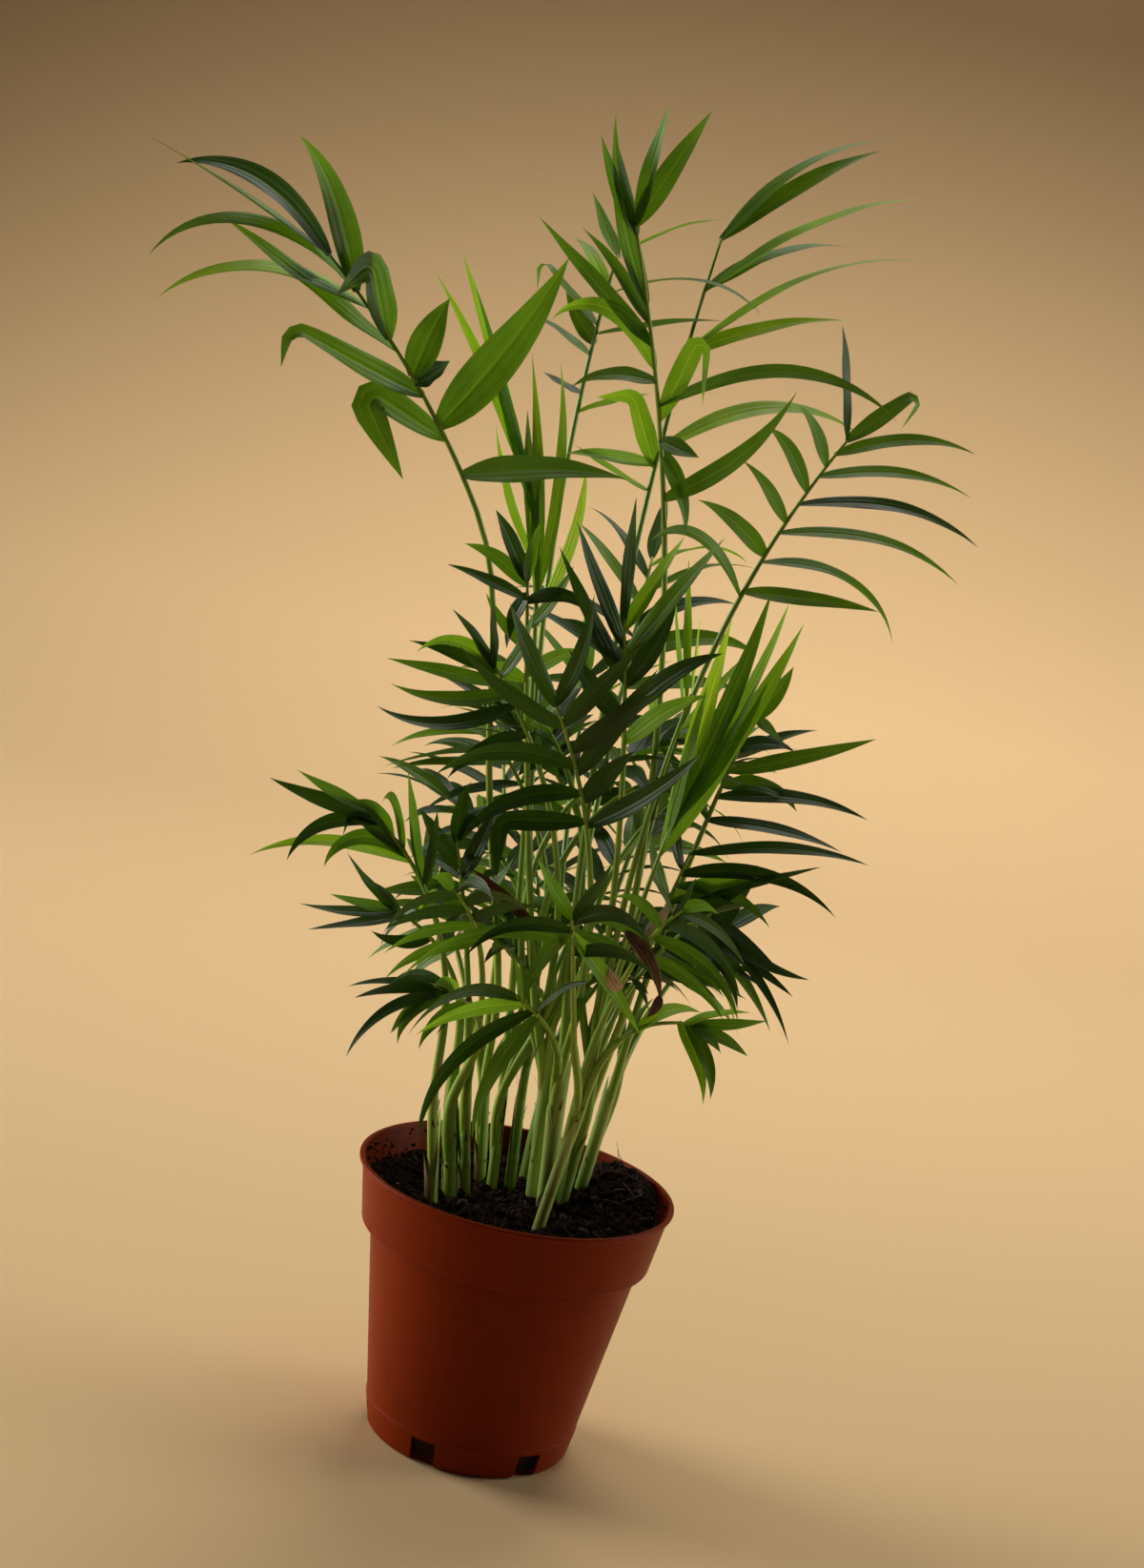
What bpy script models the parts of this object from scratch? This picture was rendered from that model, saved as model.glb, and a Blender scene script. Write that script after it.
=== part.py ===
"""Parlour palm in its nursery pot: a clump of slim canes with pinnate fronds, standing in peat.

Frame: the origin is the middle of the pot's underside, X points right, Y points away from the front, Z is up.
Sizes are in millimetres and angles in degrees; meshes are scaled to metres when they are made.

A frond is a thin blade cut to its rib between the leaflets. Its rib is one smooth curve from its cane through
its neck, where the first leaflet stands, to its tip. A leaflet row says where along the blade it stands
(0 at the neck, 1 at the tip), how far it turns from the rib (right is positive as seen from its face), its
length, how far it sags towards the ground by its tip, how far it is rolled edge-on, and, for a creased one,
where along its length it folds over. A bow pushes the middle of the petiole sideways.
"""

import math
import random
from collections import namedtuple

import bmesh
import bpy
from mathutils import Quaternion, Vector
from mathutils.bvhtree import BVHTree

MM = 0.001
GAP = 0.3

# Pot
POT_HEIGHT = 105.0
RIM_RADIUS = 60.0
RIM_LIP = 1.6
COLLAR_HEIGHT = 24.6
COLLAR_FOOT_RADIUS = 53.5
BODY_TOP_RADIUS = 52.7
BASE_RADIUS = 39.2
BASE_EDGE = 1.5
EDGE = 0.6
WALL = 1.5
FLOOR = 2.5
INNER_STEP = 1.5
SHOULDER = POT_HEIGHT - COLLAR_HEIGHT
POT_SEGMENTS = 40
NOTCH_COUNT = 6
NOTCH_WIDTH = 10.0
NOTCH_HEIGHT = 8.0
NOTCH_DEPTH = 8.0
NOTCH_START = -112.0

# Soil
SOIL_LEVEL = 94.0
SOIL_MOUND = 13.0
SOIL_MOUND_CENTRE = (38.0, 24.0)
SOIL_MOUND_SPREAD = 20.0
SOIL_WAVE = 0.8
SOIL_WAVELENGTHS = (30.0, 37.0)
SOIL_SEGMENTS = 24
SOIL_RING_SHARES = (1.0, 0.75, 0.5, 0.25)
SOCKET_PLAY = 0.4
SOCKET_SHARE = 0.6

# Canes and ribs
CANE_DEPTH = 9.0
CANE_SIDES = 8
CANE_STEPS = 3
CANE_TAPER = 0.8
PETIOLE_RADIUS = 1.5
NECK_RADIUS = 1.0
RIB_TIP_RADIUS = 0.5
RIB_SIDES = 3
PETIOLE_STEPS = 4
BLADE_STEPS = 4
BASE_PLAY = 0.15
BASE_DROPS = (0.06, 0.2, 0.34)
STANDS = (0, 40, -40, 80, -80, 120, -120, 160)

# Leaflets
LEAFLET_CUP = 10.0
LEAFLET_ROOT = 0.42
ROOT_REACH = 0.12
WIDTH_FULLNESS = 2.2
WIDTH_POINT = 0.9
LEAFLET_THICKNESS = 0.011
LEAFLET_LEAST_THICKNESS = 0.6
MIDLINE_STEPS = 20
HANG = Vector((0.2, 0.0, -1.0)).normalized()
SAG_POWER = 1.5
FOLD_LENGTH = 0.16
LIFTS = (0, 7, -7, 14, -14, 22, -22, 30, -30)
STAGGER = 1.5
ROOT_SINK = 0.5
ROOT_STAGGER = 0.2
SHORT_LENGTH = 60.0
SLIGHT_SAG = 60.0
STRONG_SAG = 100.0
SHORT_SECTIONS = (0, 0.45)
SECTIONS = (0, 0.35, 0.72)
BENT_SECTIONS = (0, 0.3, 0.55, 0.8)

# Seeded leaflets
PAIR_OFFSET = 0.2
ROOT_TURN = 75.0
TIP_TURN = 30.0
TURN_SPREAD = 8.0
END_SHORTENING = 0.2
LENGTH_SPREAD = (0.85, 1.1)
SAG_SPREAD = (20, 75)
ROLL_SPREAD = (10, 60)

Cane = namedtuple("Cane", "foot top radius")
Frond = namedtuple("Frond", "cane neck tip face width leaflets bow", defaults=(0,))

CANES = {
    "cane_1": Cane((-30, -16), (-37, -16, 138), 2.0),
    "cane_2": Cane((-24, -5), (-31, -5, 136), 2.5),
    "cane_3": Cane((-19, 1), (-26, 2, 138), 2.2),
    "cane_4": Cane((-14, 21), (-20, 21, 136), 1.8),
    "cane_5": Cane((-9, 14), (-13, 14, 140), 1.8),
    "cane_6": Cane((-2, 16), (-5, 16, 140), 1.8),
    "cane_7": Cane((7, 8), (3, 9, 146), 2.2),
    "cane_8": Cane((12, 0), (8, -2, 150), 2.5),
    "cane_9": Cane((11, -21), (17, -22, 146), 1.8),
    "cane_10": Cane((18, 7), (21, 6, 150), 2.2),
    "cane_11": Cane((24, 15), (29, 16, 146), 2.0),
    "cane_12": Cane((3, 30), (4, 35, 140), 2.0),
    "cane_13": Cane((-15, 33), (-20, 40, 132), 2.0),
}


def seeded_leaflets(seed, pairs, longest):
    """Rows for a frond that hangs half hidden: leaflets in pairs, closing towards the tip."""
    rng = random.Random(seed)
    rows = []
    for pair in range(pairs):
        for side in (-1, 1):
            at = (pair + 0.5 + PAIR_OFFSET * side) / pairs
            closing = ROOT_TURN + at * (TIP_TURN - ROOT_TURN)
            turn = side * (closing + rng.uniform(-TURN_SPREAD, TURN_SPREAD))
            length = longest * (1 - END_SHORTENING * (2 * at - 1) ** 2) * rng.uniform(*LENGTH_SPREAD)
            rows.append((at, turn, length, rng.uniform(*SAG_SPREAD), rng.uniform(*ROLL_SPREAD)))
    rows.append((1.0, rng.uniform(-TURN_SPREAD, TURN_SPREAD), (1 - END_SHORTENING) * longest, 30, 40))
    return rows


FRONDS = {
    "frond_upper_left": Frond("cane_4", (-62, -15, 350), (-127, -35, 428), 15, 12, [
        (0.14, 105, 60, 25, 50),
        (0.33, 70, 75, -15, 0),
        (0.50, 88, 15, 0, 60),
        (0.52, 50, 31, 15, 10),
        (0.67, 22, 46, 112, 35, 0.57),
        (0.86, 28, 62, 50, 25),
        (1.00, 8, 65, 75, 50),
        (1.00, -16, 80, 10, 75),
        (0.83, -3, 88, 103, 76),
        (0.79, -24, 79, 72, 72),
        (0.62, -19, 78, 5, 68),
        (0.45, -33, 66, 105, 50, 0.8),
        (0.28, -30, 64, 150, 45, 0.5),
    ], bow=-15),
    "frond_top_back": Frond("cane_12", (-35, 35, 381), (-32, 60, 449), -20, 8, [
        (1.00, -35, 30, 0, 50),
        (0.98, 50, 45, 35, 50),
        (0.77, 70, 70, 65, 60),
        (0.55, 75, 52, 15, 45),
        (0.80, -30, 36, 60, 50),
        (0.60, -50, 46, 130, 60, 0.75),
        (0.43, -55, 36, 35, 60),
        (0.22, -70, 18, 0, 65),
        (0.50, -40, 24, 0, 25),
        (0.12, 65, 30, 20, 50),
    ]),
    "frond_top": Frond("cane_10", (3, -10, 365), (-26, -30, 458), -10, 9, [
        (1.00, 24, 44, 8, 50),
        (1.00, 42, 50, 5, 20),
        (0.97, -5, 32, -10, 65),
        (0.97, -16, 36, -15, 65),
        (0.73, -10, 66, -25, 50),
        (0.66, -20, 42, 20, 60),
        (0.58, -35, 60, 0, 50),
        (0.50, -15, 52, 110, 50),
        (0.45, -65, 32, 55, 60),
        (0.31, 30, 55, 155, 15, 0.6),
        (0.36, 65, 96, 70, 65),
        (0.02, 65, 66, -35, 15),
        (0.20, 150, 32, 40, 50),
        (0.24, 115, 16, 0, 60),
    ]),
    "frond_top_right": Frond("cane_8", (-3, 20, 365), (5, 45, 462), 20, 10, [
        (1.00, 22, 86, 45, 68),
        (1.00, 32, 76, 22, 55),
        (0.79, 34, 98, 34, 74),
        (0.80, 38, 66, 42, 60),
        (0.55, 34, 110, 45, 76),
        (0.55, 50, 66, 26, 40),
        (0.17, 42, 96, 80, 62),
        (0.11, -35, 42, 75, 0, 0.65),
        (0.12, -95, 40, 15, 50),
        (0.02, -80, 36, -5, 62),
    ]),
    "frond_right": Frond("cane_11", (35, 10, 327), (65, 25, 399), 15, 8, [
        (1.00, -45, 46, 40, 45),
        (1.00, 15, 46, 160, 35, 0.7),
        (0.92, 32, 56, 45, 45),
        (0.79, 43, 62, 42, 50),
        (0.63, 48, 74, 48, 55),
        (0.47, 52, 74, 50, 55),
        (0.31, 56, 66, 85, 62),
        (0.15, 65, 52, 10, 40),
        (0.85, -58, 29, 40, 30),
        (0.70, -58, 31, 42, 20),
        (0.53, -65, 32, 28, 25),
        (0.35, -75, 38, 30, 10),
        (0.12, -55, 60, 90, 50),
    ]),
    "spear_left": Frond("cane_5", (-33, 10, 303), (-45, 12, 375), 0, 9, [
        (0.57, -15, 106, 5, 58),
        (0.62, -15, 98, 5, 68),
        (0.68, -20, 94, 12, 55),
        (0.38, -25, 56, -18, 55),
        (0.18, 0, 95, -8, 25),
        (0.24, 12, 88, -20, 40),
        (0.12, 26, 62, -25, 50),
        (0.32, -7, 64, -5, 50),
    ]),
    "spear_right": Frond("cane_9", (23, -35, 222), (29, -40, 263), 0, 10, [
        (0.74, 5, 96, -8, 0),
        (0.83, 10, 92, -10, 55),
        (0.85, 15, 88, -10, 30),
        (0.81, -5, 80, 0, 35),
        (0.56, -5, 66, 0, 55),
        (0.56, 15, 76, -12, 50),
    ]),
    "spear_middle": Frond("cane_10", (21, -20, 265), (26, -25, 302), 0, 6, [
        (0.80, -25, 50, 0, 60),
        (0.87, -20, 56, 5, 30),
        (1.00, -15, 30, 0, 65),
        (0.55, 20, 40, 0, 50),
    ]),
    "frond_centre": Frond("cane_8", (0, -45, 247), (-20, -75, 296), 0, 10, [
        (0.83, -35, 52, -20, 0),
        (0.54, -45, 56, 55, 35),
        (0.34, -65, 50, 65, 50),
        (0.13, -75, 50, 90, 50, 0.6),
        (0.85, 50, 45, 0, 25),
        (0.65, 55, 46, 5, 25),
        (0.48, 40, 55, 0, 20),
        (0.28, 40, 32, 10, 25),
        (0.10, 60, 54, -18, 50),
        (1.00, 40, 45, -30, 50),
        (1.00, -5, 46, -10, 50),
    ]),
    "frond_middle_right": Frond("cane_10", (7, -30, 274), (-3, -45, 326), 0, 9, [
        (0.80, -20, 50, -5, 55),
        (0.96, 5, 50, 15, 50),
        (0.56, -25, 58, -5, 55),
        (0.67, -35, 32, 35, 60),
        (0.93, 30, 42, 5, 50),
        (0.74, 35, 60, 5, 50),
        (0.54, 35, 40, -20, 35),
        (0.34, 40, 46, 30, 50),
        (0.28, -40, 36, -15, 50),
        (0.14, 42, 38, 30, 55),
    ]),
    "frond_middle_left": Frond("cane_7", (-31, -15, 285), (-39, -25, 330), 0, 7, [
        (0.90, -145, 22, 40, 40),
        (1.00, -20, 30, 10, 40),
        (0.97, -40, 30, 35, 50),
        (0.86, -60, 32, 12, 60),
        (1.00, 6, 26, 30, 45),
        (0.84, 60, 28, 90, 50),
        (0.62, 42, 30, -20, 50),
        (0.47, -45, 26, -25, 50),
        (0.25, 50, 26, 30, 40),
        (0.20, -60, 26, 40, 40),
    ]),
    "frond_left": Frond("cane_6", (-23, -20, 266), (-44, -35, 299), 0, 8, [
        (0.72, -70, 44, -35, 55),
        (0.60, -85, 52, -55, 55),
        (0.82, -45, 46, 0, 60),
        (0.95, -32, 36, 15, 30),
        (0.97, -8, 38, 85, 60),
        (1.00, 0, 30, 15, 60),
        (1.00, 25, 30, 0, 55),
        (0.90, 60, 28, -30, 60),
        (0.35, 55, 34, 20, 40),
        (0.30, -80, 34, 40, 40),
    ]),
    "frond_left_back": Frond("cane_13", (-21, 25, 237), (-43, 30, 265), 0, 7, [
        (1.00, -48, 40, 40, 60),
        (0.82, -60, 46, 20, 60),
        (0.64, -56, 46, 20, 62),
        (0.93, -25, 28, 50, 60),
        (0.80, 50, 36, 30, 40),
        (0.40, -65, 40, 40, 50),
        (0.40, 60, 40, 40, 40),
    ]),
    "frond_low_left_up": Frond("cane_1", (-53, -20, 210), (-79, -35, 240), 0, 8, [
        (0.36, -34, 62, 48, 64),
        (0.42, -12, 40, 115, 60),
        (0.46, -15, 36, 110, 0, 0.75),
        (0.93, -28, 42, -10, 50),
        (0.98, -15, 33, -5, 62),
        (0.83, -30, 42, 85, 52),
        (0.10, 15, 46, -5, 60),
        (0.48, 25, 50, 85, 55),
        (0.65, 12, 28, 50, 50),
        (0.06, 32, 32, -10, 50),
    ]),
    "frond_low_left_mid": Frond("cane_2", (-40, -7, 181), (-64, -22, 203), 0, 6, [
        (0.86, -40, 38, 0, 64),
        (0.95, -30, 40, -15, 68),
        (1.00, -18, 28, -10, 60),
        (1.00, 12, 32, -15, 55),
        (0.90, 18, 22, 15, 55),
        (0.70, 50, 34, 75, 50),
        (0.45, -60, 24, -50, 45),
        (0.30, 50, 26, 30, 40),
    ]),
    "frond_low_left_in": Frond("cane_3", (-37, -5, 195), (-47, -10, 231), 0, 8, [
        (0.94, 10, 30, 50, 40),
        (0.99, 38, 26, 70, 50),
        (0.70, -30, 28, -10, 40),
        (0.50, -85, 32, 5, 50),
        (0.60, 35, 32, -15, 40),
        (0.30, -55, 24, -5, 50),
        (0.30, 60, 28, -30, 50),
    ]),
    "frond_right_upper": Frond("cane_11", (41, 5, 246), (52, 5, 297), 0, 8, [
        (0.93, 20, 25, -20, 0),
        (0.96, 108, 16, 0, 60),
        (0.71, 45, 22, 60, 50),
        (0.52, 55, 56, -5, 30),
        (0.41, 55, 32, 75, 50),
        (0.32, 60, 58, 35, 58),
        (0.14, 70, 52, 25, 50),
        (0.75, -35, 30, -20, 50),
        (0.45, -40, 30, -25, 50),
        (0.15, -45, 36, 30, 50),
    ]),
    "frond_right_mid": Frond("cane_10", (31, -10, 208), (38, -15, 244), 0, 7, [
        (0.98, 55, 66, 30, 60),
        (0.75, 55, 62, 60, 30),
        (0.42, 50, 60, 0, 68),
        (0.80, -40, 30, -35, 50),
        (0.46, 40, 36, 25, 30),
        (0.14, 40, 42, 0, 30),
        (0.45, -45, 28, -25, 55),
        (0.62, 64, 40, 60, 50),
    ]),
    "frond_right_low": Frond("cane_9", (26, -15, 188), (49, -30, 226), 0, 6, [
        (1.00, 65, 32, 5, 55),
        (0.90, 70, 46, -30, 58),
        (0.94, 72, 56, 35, 68),
        (0.86, 80, 48, 25, 62),
        (0.80, 78, 36, 45, 58),
        (0.50, 65, 44, -45, 60),
        (0.76, 58, 46, 20, 62),
        (0.63, 60, 38, 15, 62),
        (0.33, 48, 32, 55, 50),
        (0.66, -35, 32, 30, 40),
        (0.30, -50, 32, 40, 40),
    ]),
    "frond_low_right": Frond("cane_9", (25, -30, 172), (50, -50, 190), 0, 9, [
        (0.97, -5, 34, -10, 50),
        (0.88, -20, 34, 20, 60),
        (0.85, 52, 32, 55, 58),
        (0.92, 45, 30, 65, 62),
        (0.98, 22, 16, 30, 60),
        (1.00, 10, 26, 20, 60),
        (0.22, -25, 22, 15, 50),
        (0.32, -15, 36, 50, 45),
    ]),
    "frond_low_front_left": Frond("cane_8", (1, -35, 172), (-14, -60, 190), 0, 10, [
        (0.90, -10, 60, 70, 35),
        (0.79, -30, 50, 30, 50),
        (0.48, -105, 54, 40, 55),
        (0.21, -150, 44, -10, 50),
        (0.60, -60, 68, 75, 58),
        (0.88, 25, 34, 15, 55),
        (0.54, 50, 36, 35, 55),
    ]),
    "frond_low_far_left": Frond("cane_2", (-26, -20, 168), (-44, -35, 181), 0, 6, [
        (0.70, 15, 36, 70, 58),
        (1.00, -5, 36, 25, 66),
        (0.92, -14, 36, 20, 68),
        (0.78, -28, 48, 65, 70),
        (0.86, -46, 26, 35, 66),
        (0.68, -28, 32, 90, 70),
        (0.50, 20, 24, 65, 58),
        (0.40, -60, 26, 60, 50),
    ]),
    "frond_low_front": Frond("cane_9", (7, -50, 187), (0, -80, 226), 0, 10, [
        (0.85, -55, 46, 75, 45),
        (0.90, -140, 40, 40, 35),
        (0.82, 150, 54, 10, 55),
        (0.95, 40, 42, 95, 55),
        (0.72, -55, 70, 65, 35),
        (0.60, 55, 38, 70, 55),
        (1.00, -20, 36, -5, 55),
        (1.00, 25, 36, -12, 50),
    ]),
    "frond_back_high": Frond("cane_12", (2, 38, 282), (4, 78, 338), 0, 9, seeded_leaflets(11, 5, 52)),
    "frond_back_left": Frond("cane_13", (-30, 50, 215), (-42, 92, 258), -15, 9, seeded_leaflets(12, 5, 50)),
    "frond_back_right": Frond("cane_12", (18, 55, 222), (26, 100, 262), 15, 9, seeded_leaflets(13, 5, 52)),
    "frond_back_low": Frond("cane_6", (-8, 52, 175), (-12, 95, 200), 0, 8, seeded_leaflets(14, 4, 48)),
    "frond_back_low_left": Frond(
        "cane_13", (-40, 52, 172), (-58, 80, 194), -25, 7, seeded_leaflets(15, 4, 40)
    ),
    "frond_back_low_right": Frond("cane_11", (42, 40, 178), (62, 68, 200), 25, 8, seeded_leaflets(16, 4, 44)),
    "frond_back_middle": Frond("cane_7", (-8, 35, 235), (-12, 72, 290), 0, 9, seeded_leaflets(17, 5, 50)),
    "frond_front_right": Frond("cane_9", (24, -46, 205), (36, -86, 238), 0, 8, seeded_leaflets(18, 4, 44)),
    "frond_front_left": Frond("cane_3", (-30, -42, 200), (-42, -80, 228), 0, 8, seeded_leaflets(19, 4, 42)),
}

SPEARS = ("spear_left", "spear_right", "spear_middle")


def clear_scene():
    for obj in list(bpy.data.objects):
        bpy.data.objects.remove(obj, do_unlink=True)


def make_material(name, colour, roughness):
    material = bpy.data.materials.new(name)
    material.use_nodes = True
    shader = material.node_tree.nodes["Principled BSDF"]
    shader.inputs["Base Color"].default_value = (*colour, 1.0)
    shader.inputs["Roughness"].default_value = roughness
    shader.inputs["Metallic"].default_value = 0.0
    return material


def mesh_object(name, points, faces, material, origin=Vector()):
    """An object at its origin, from points in millimetres and faces that look outwards."""
    mesh = bpy.data.meshes.new(name)
    mesh.from_pydata([(Vector(point) - origin) * MM for point in points], [], faces)
    mesh.materials.append(material)
    obj = bpy.data.objects.new(name, mesh)
    obj.location = origin * MM
    bpy.context.scene.collection.objects.link(obj)
    return obj


def shade_round(obj, angle):
    obj.data.shade_smooth()
    obj.data.set_sharp_from_angle(angle=math.radians(angle))


def hide(cutter):
    cutter.hide_render = True
    cutter.display_type = "WIRE"


def lathe(name, profile, segments, material):
    """A closed turned solid from (radius, height) points that start and end on the axis."""
    bm = bmesh.new()
    verts = [bm.verts.new((radius * MM, 0.0, height * MM)) for radius, height in profile]
    edges = [bm.edges.new(pair) for pair in zip(verts, verts[1:])]
    bmesh.ops.spin(bm, geom=verts + edges, axis=(0, 0, 1), cent=(0, 0, 0), angle=math.tau, steps=segments)
    bmesh.ops.remove_doubles(bm, verts=bm.verts, dist=1e-6)
    bmesh.ops.recalc_face_normals(bm, faces=bm.faces)
    mesh = bpy.data.meshes.new(name)
    bm.to_mesh(mesh)
    bm.free()
    mesh.materials.append(material)
    obj = bpy.data.objects.new(name, mesh)
    bpy.context.scene.collection.objects.link(obj)
    return obj


def combine(obj, others, operation, solver="EXACT"):
    """Applies one Boolean of the others, kept in a collection of their own, and removes them."""
    group = bpy.data.collections.new(obj.name + "_operands")
    for other in others:
        for home in other.users_collection:
            home.objects.unlink(other)
        group.objects.link(other)
    bpy.context.scene.collection.children.link(group)
    bpy.context.view_layer.update()
    modifier = obj.modifiers.new("Boolean", "BOOLEAN")
    modifier.operation = operation
    modifier.operand_type = "COLLECTION"
    modifier.collection = group
    modifier.solver = solver
    bpy.context.view_layer.objects.active = obj
    bpy.ops.object.modifier_apply(modifier=modifier.name)
    for other in others:
        bpy.data.objects.remove(other, do_unlink=True)
    bpy.data.collections.remove(group)


def inner_radius(height):
    """Radius of the pot's inner wall at a height."""
    if height > SHOULDER:
        share = (height - SHOULDER) / COLLAR_HEIGHT
        return COLLAR_FOOT_RADIUS + share * (RIM_RADIUS - COLLAR_FOOT_RADIUS) - WALL
    return BASE_RADIUS + height / SHOULDER * (BODY_TOP_RADIUS - BASE_RADIUS) - WALL


def make_pot(material):
    profile = [
        (0, 0),
        (BASE_RADIUS - BASE_EDGE, 0),
        (BASE_RADIUS, BASE_EDGE),
        (BODY_TOP_RADIUS, SHOULDER - EDGE),
        (COLLAR_FOOT_RADIUS + EDGE / 2, SHOULDER + EDGE),
        (RIM_RADIUS - EDGE, POT_HEIGHT - RIM_LIP - EDGE),
        (RIM_RADIUS, POT_HEIGHT - RIM_LIP),
        (RIM_RADIUS, POT_HEIGHT - EDGE),
        (RIM_RADIUS - EDGE, POT_HEIGHT),
        (RIM_RADIUS - WALL, POT_HEIGHT),
        (inner_radius(SHOULDER + EDGE), SHOULDER + EDGE),
        (inner_radius(SHOULDER - INNER_STEP), SHOULDER - INNER_STEP),
        (inner_radius(FLOOR), FLOOR),
        (0, FLOOR),
    ]
    pot = lathe("pot", profile, POT_SEGMENTS, material)
    cutters = []
    for i in range(NOTCH_COUNT):
        angle = math.radians(NOTCH_START + i * 360 / NOTCH_COUNT)
        bpy.ops.mesh.primitive_cube_add(size=1)
        cutter = bpy.context.object
        cutter.name = f"notch_cutter_{i}"
        cutter.scale = (NOTCH_DEPTH * MM, NOTCH_WIDTH * MM, 2 * NOTCH_HEIGHT * MM)
        cutter.rotation_euler = (0, 0, angle)
        cutter.location = (BASE_RADIUS * MM * math.cos(angle), BASE_RADIUS * MM * math.sin(angle), 0)
        hide(cutter)
        cutters.append(cutter)
    combine(pot, cutters, "DIFFERENCE")
    shade_round(pot, 35)
    return pot


def soil_height(x, y):
    """Level of the peat, banked up towards the back right."""
    away = math.hypot(x - SOIL_MOUND_CENTRE[0], y - SOIL_MOUND_CENTRE[1])
    bank = SOIL_MOUND * math.exp(-((away / SOIL_MOUND_SPREAD) ** 2))
    wave_x = math.sin(math.tau * x / SOIL_WAVELENGTHS[0])
    wave_y = math.cos(math.tau * y / SOIL_WAVELENGTHS[1])
    return SOIL_LEVEL + bank + SOIL_WAVE * wave_x * wave_y


def soil_radius(height):
    """Reach of the peat at a height, clear of the flats of the pot's inner wall."""
    return inner_radius(height) * math.cos(math.pi / POT_SEGMENTS) - GAP


def make_soil(material):
    """The peat from wall to wall, with a socket for each cane."""
    angles = [math.tau * i / SOIL_SEGMENTS for i in range(SOIL_SEGMENTS)]
    points = [(0, 0, FLOOR + GAP)]
    heights = (FLOOR + GAP, SHOULDER - INNER_STEP, SHOULDER + EDGE)
    for height in heights:
        reach = soil_radius(height)
        points += [(reach * math.cos(a), reach * math.sin(a), height) for a in angles]
    for share in SOIL_RING_SHARES:
        for a in angles:
            reach = share * soil_radius(SOIL_LEVEL)
            height = soil_height(reach * math.cos(a), reach * math.sin(a))
            reach = share * soil_radius(height)
            points.append((reach * math.cos(a), reach * math.sin(a), height))
    points.append((0, 0, soil_height(0, 0)))
    n = SOIL_SEGMENTS
    faces = [(0, 1 + (i + 1) % n, 1 + i) for i in range(n)]
    for ring in range(len(heights) + len(SOIL_RING_SHARES) - 1):
        low, high = 1 + ring * n, 1 + (ring + 1) * n
        faces += [(low + i, low + (i + 1) % n, high + (i + 1) % n, high + i) for i in range(n)]
    faces += [(high + i, high + (i + 1) % n, len(points) - 1) for i in range(n)]
    soil = mesh_object("soil", points, faces, material)
    sockets = []
    for name, cane in CANES.items():
        foot, top = cane_ends(cane)
        ends = [foot - Vector((0, 0, GAP)), foot.lerp(top, SOCKET_SHARE)]
        radius = cane.radius + SOCKET_PLAY
        socket = mesh_object(name + "_socket", *tube_mesh(ends, [radius, radius], CANE_SIDES), material)
        hide(socket)
        sockets.append(socket)
    combine(soil, sockets, "DIFFERENCE")
    return soil


def tube_mesh(centres, radii, sides):
    """Points and faces of a closed round rod along its centres."""
    points, faces = [], []
    across = Vector((1, 0, 0))
    for i, centre in enumerate(centres):
        along = (centres[min(i + 1, len(centres) - 1)] - centres[max(i - 1, 0)]).normalized()
        across = (across - along * across.dot(along)).normalized()
        up = along.cross(across)
        for k in range(sides):
            angle = math.tau * k / sides
            points.append(centre + radii[i] * (math.cos(angle) * across + math.sin(angle) * up))
    for ring in range(len(centres) - 1):
        low, high = ring * sides, (ring + 1) * sides
        faces += [(low + k, low + (k + 1) % sides, high + (k + 1) % sides, high + k) for k in range(sides)]
    faces.append(tuple(reversed(range(sides))))
    faces.append(tuple(range(len(points) - sides, len(points))))
    return points, faces


def cane_ends(cane):
    """Where a cane starts, in the peat, and where it ends."""
    foot = Vector((*cane.foot, SOIL_LEVEL))
    top = Vector(cane.top)
    down = (foot - top).normalized()
    return foot + down * CANE_DEPTH, top


def cane_radius(cane, share):
    """Radius of a cane at a share of its length from the foot."""
    return cane.radius * (1 + (CANE_TAPER - 1) * share)


def rib_point(frond, base, s):
    """Point of the rib: -1 at the cane, 0 at the neck, 1 at the tip, on a parabola with its petiole bowed."""
    neck, tip = Vector(frond.neck), Vector(frond.tip)
    petiole, blade = (neck - base).length, (tip - neck).length
    d = s * petiole if s < 0 else s * blade
    total = petiole + blade
    aside = Vector((4 * max(0, -s) * (1 + s) * frond.bow, 0, 0))
    return (
        base * (d * (d - blade) / (petiole * total))
        + neck * ((d + petiole) * (blade - d) / (petiole * blade))
        + tip * (d * (d + petiole) / (blade * total))
        + aside
    )


def rib_radius(s):
    if s < 0:
        return NECK_RADIUS - s * (PETIOLE_RADIUS - NECK_RADIUS)
    return NECK_RADIUS + s * (RIB_TIP_RADIUS - NECK_RADIUS)


def rib_frame(frond, base, s):
    """Directions along the rib, out of the blade's face and to its right."""
    step = 0.01
    along = (rib_point(frond, base, s + step) - rib_point(frond, base, s - step)).normalized()
    heading = math.radians(frond.face - 90)
    face = Vector((math.cos(heading), math.sin(heading), 0))
    face = (face - along * face.dot(along)).normalized()
    return along, face, along.cross(face)


def rib_mesh(frond, base):
    stations = [i / PETIOLE_STEPS - 1 for i in range(PETIOLE_STEPS)]
    stations += [i / BLADE_STEPS for i in range(BLADE_STEPS + 1)]
    centres = [rib_point(frond, base, s) for s in stations]
    return tube_mesh(centres, [rib_radius(s) for s in stations], RIB_SIDES)


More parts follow.
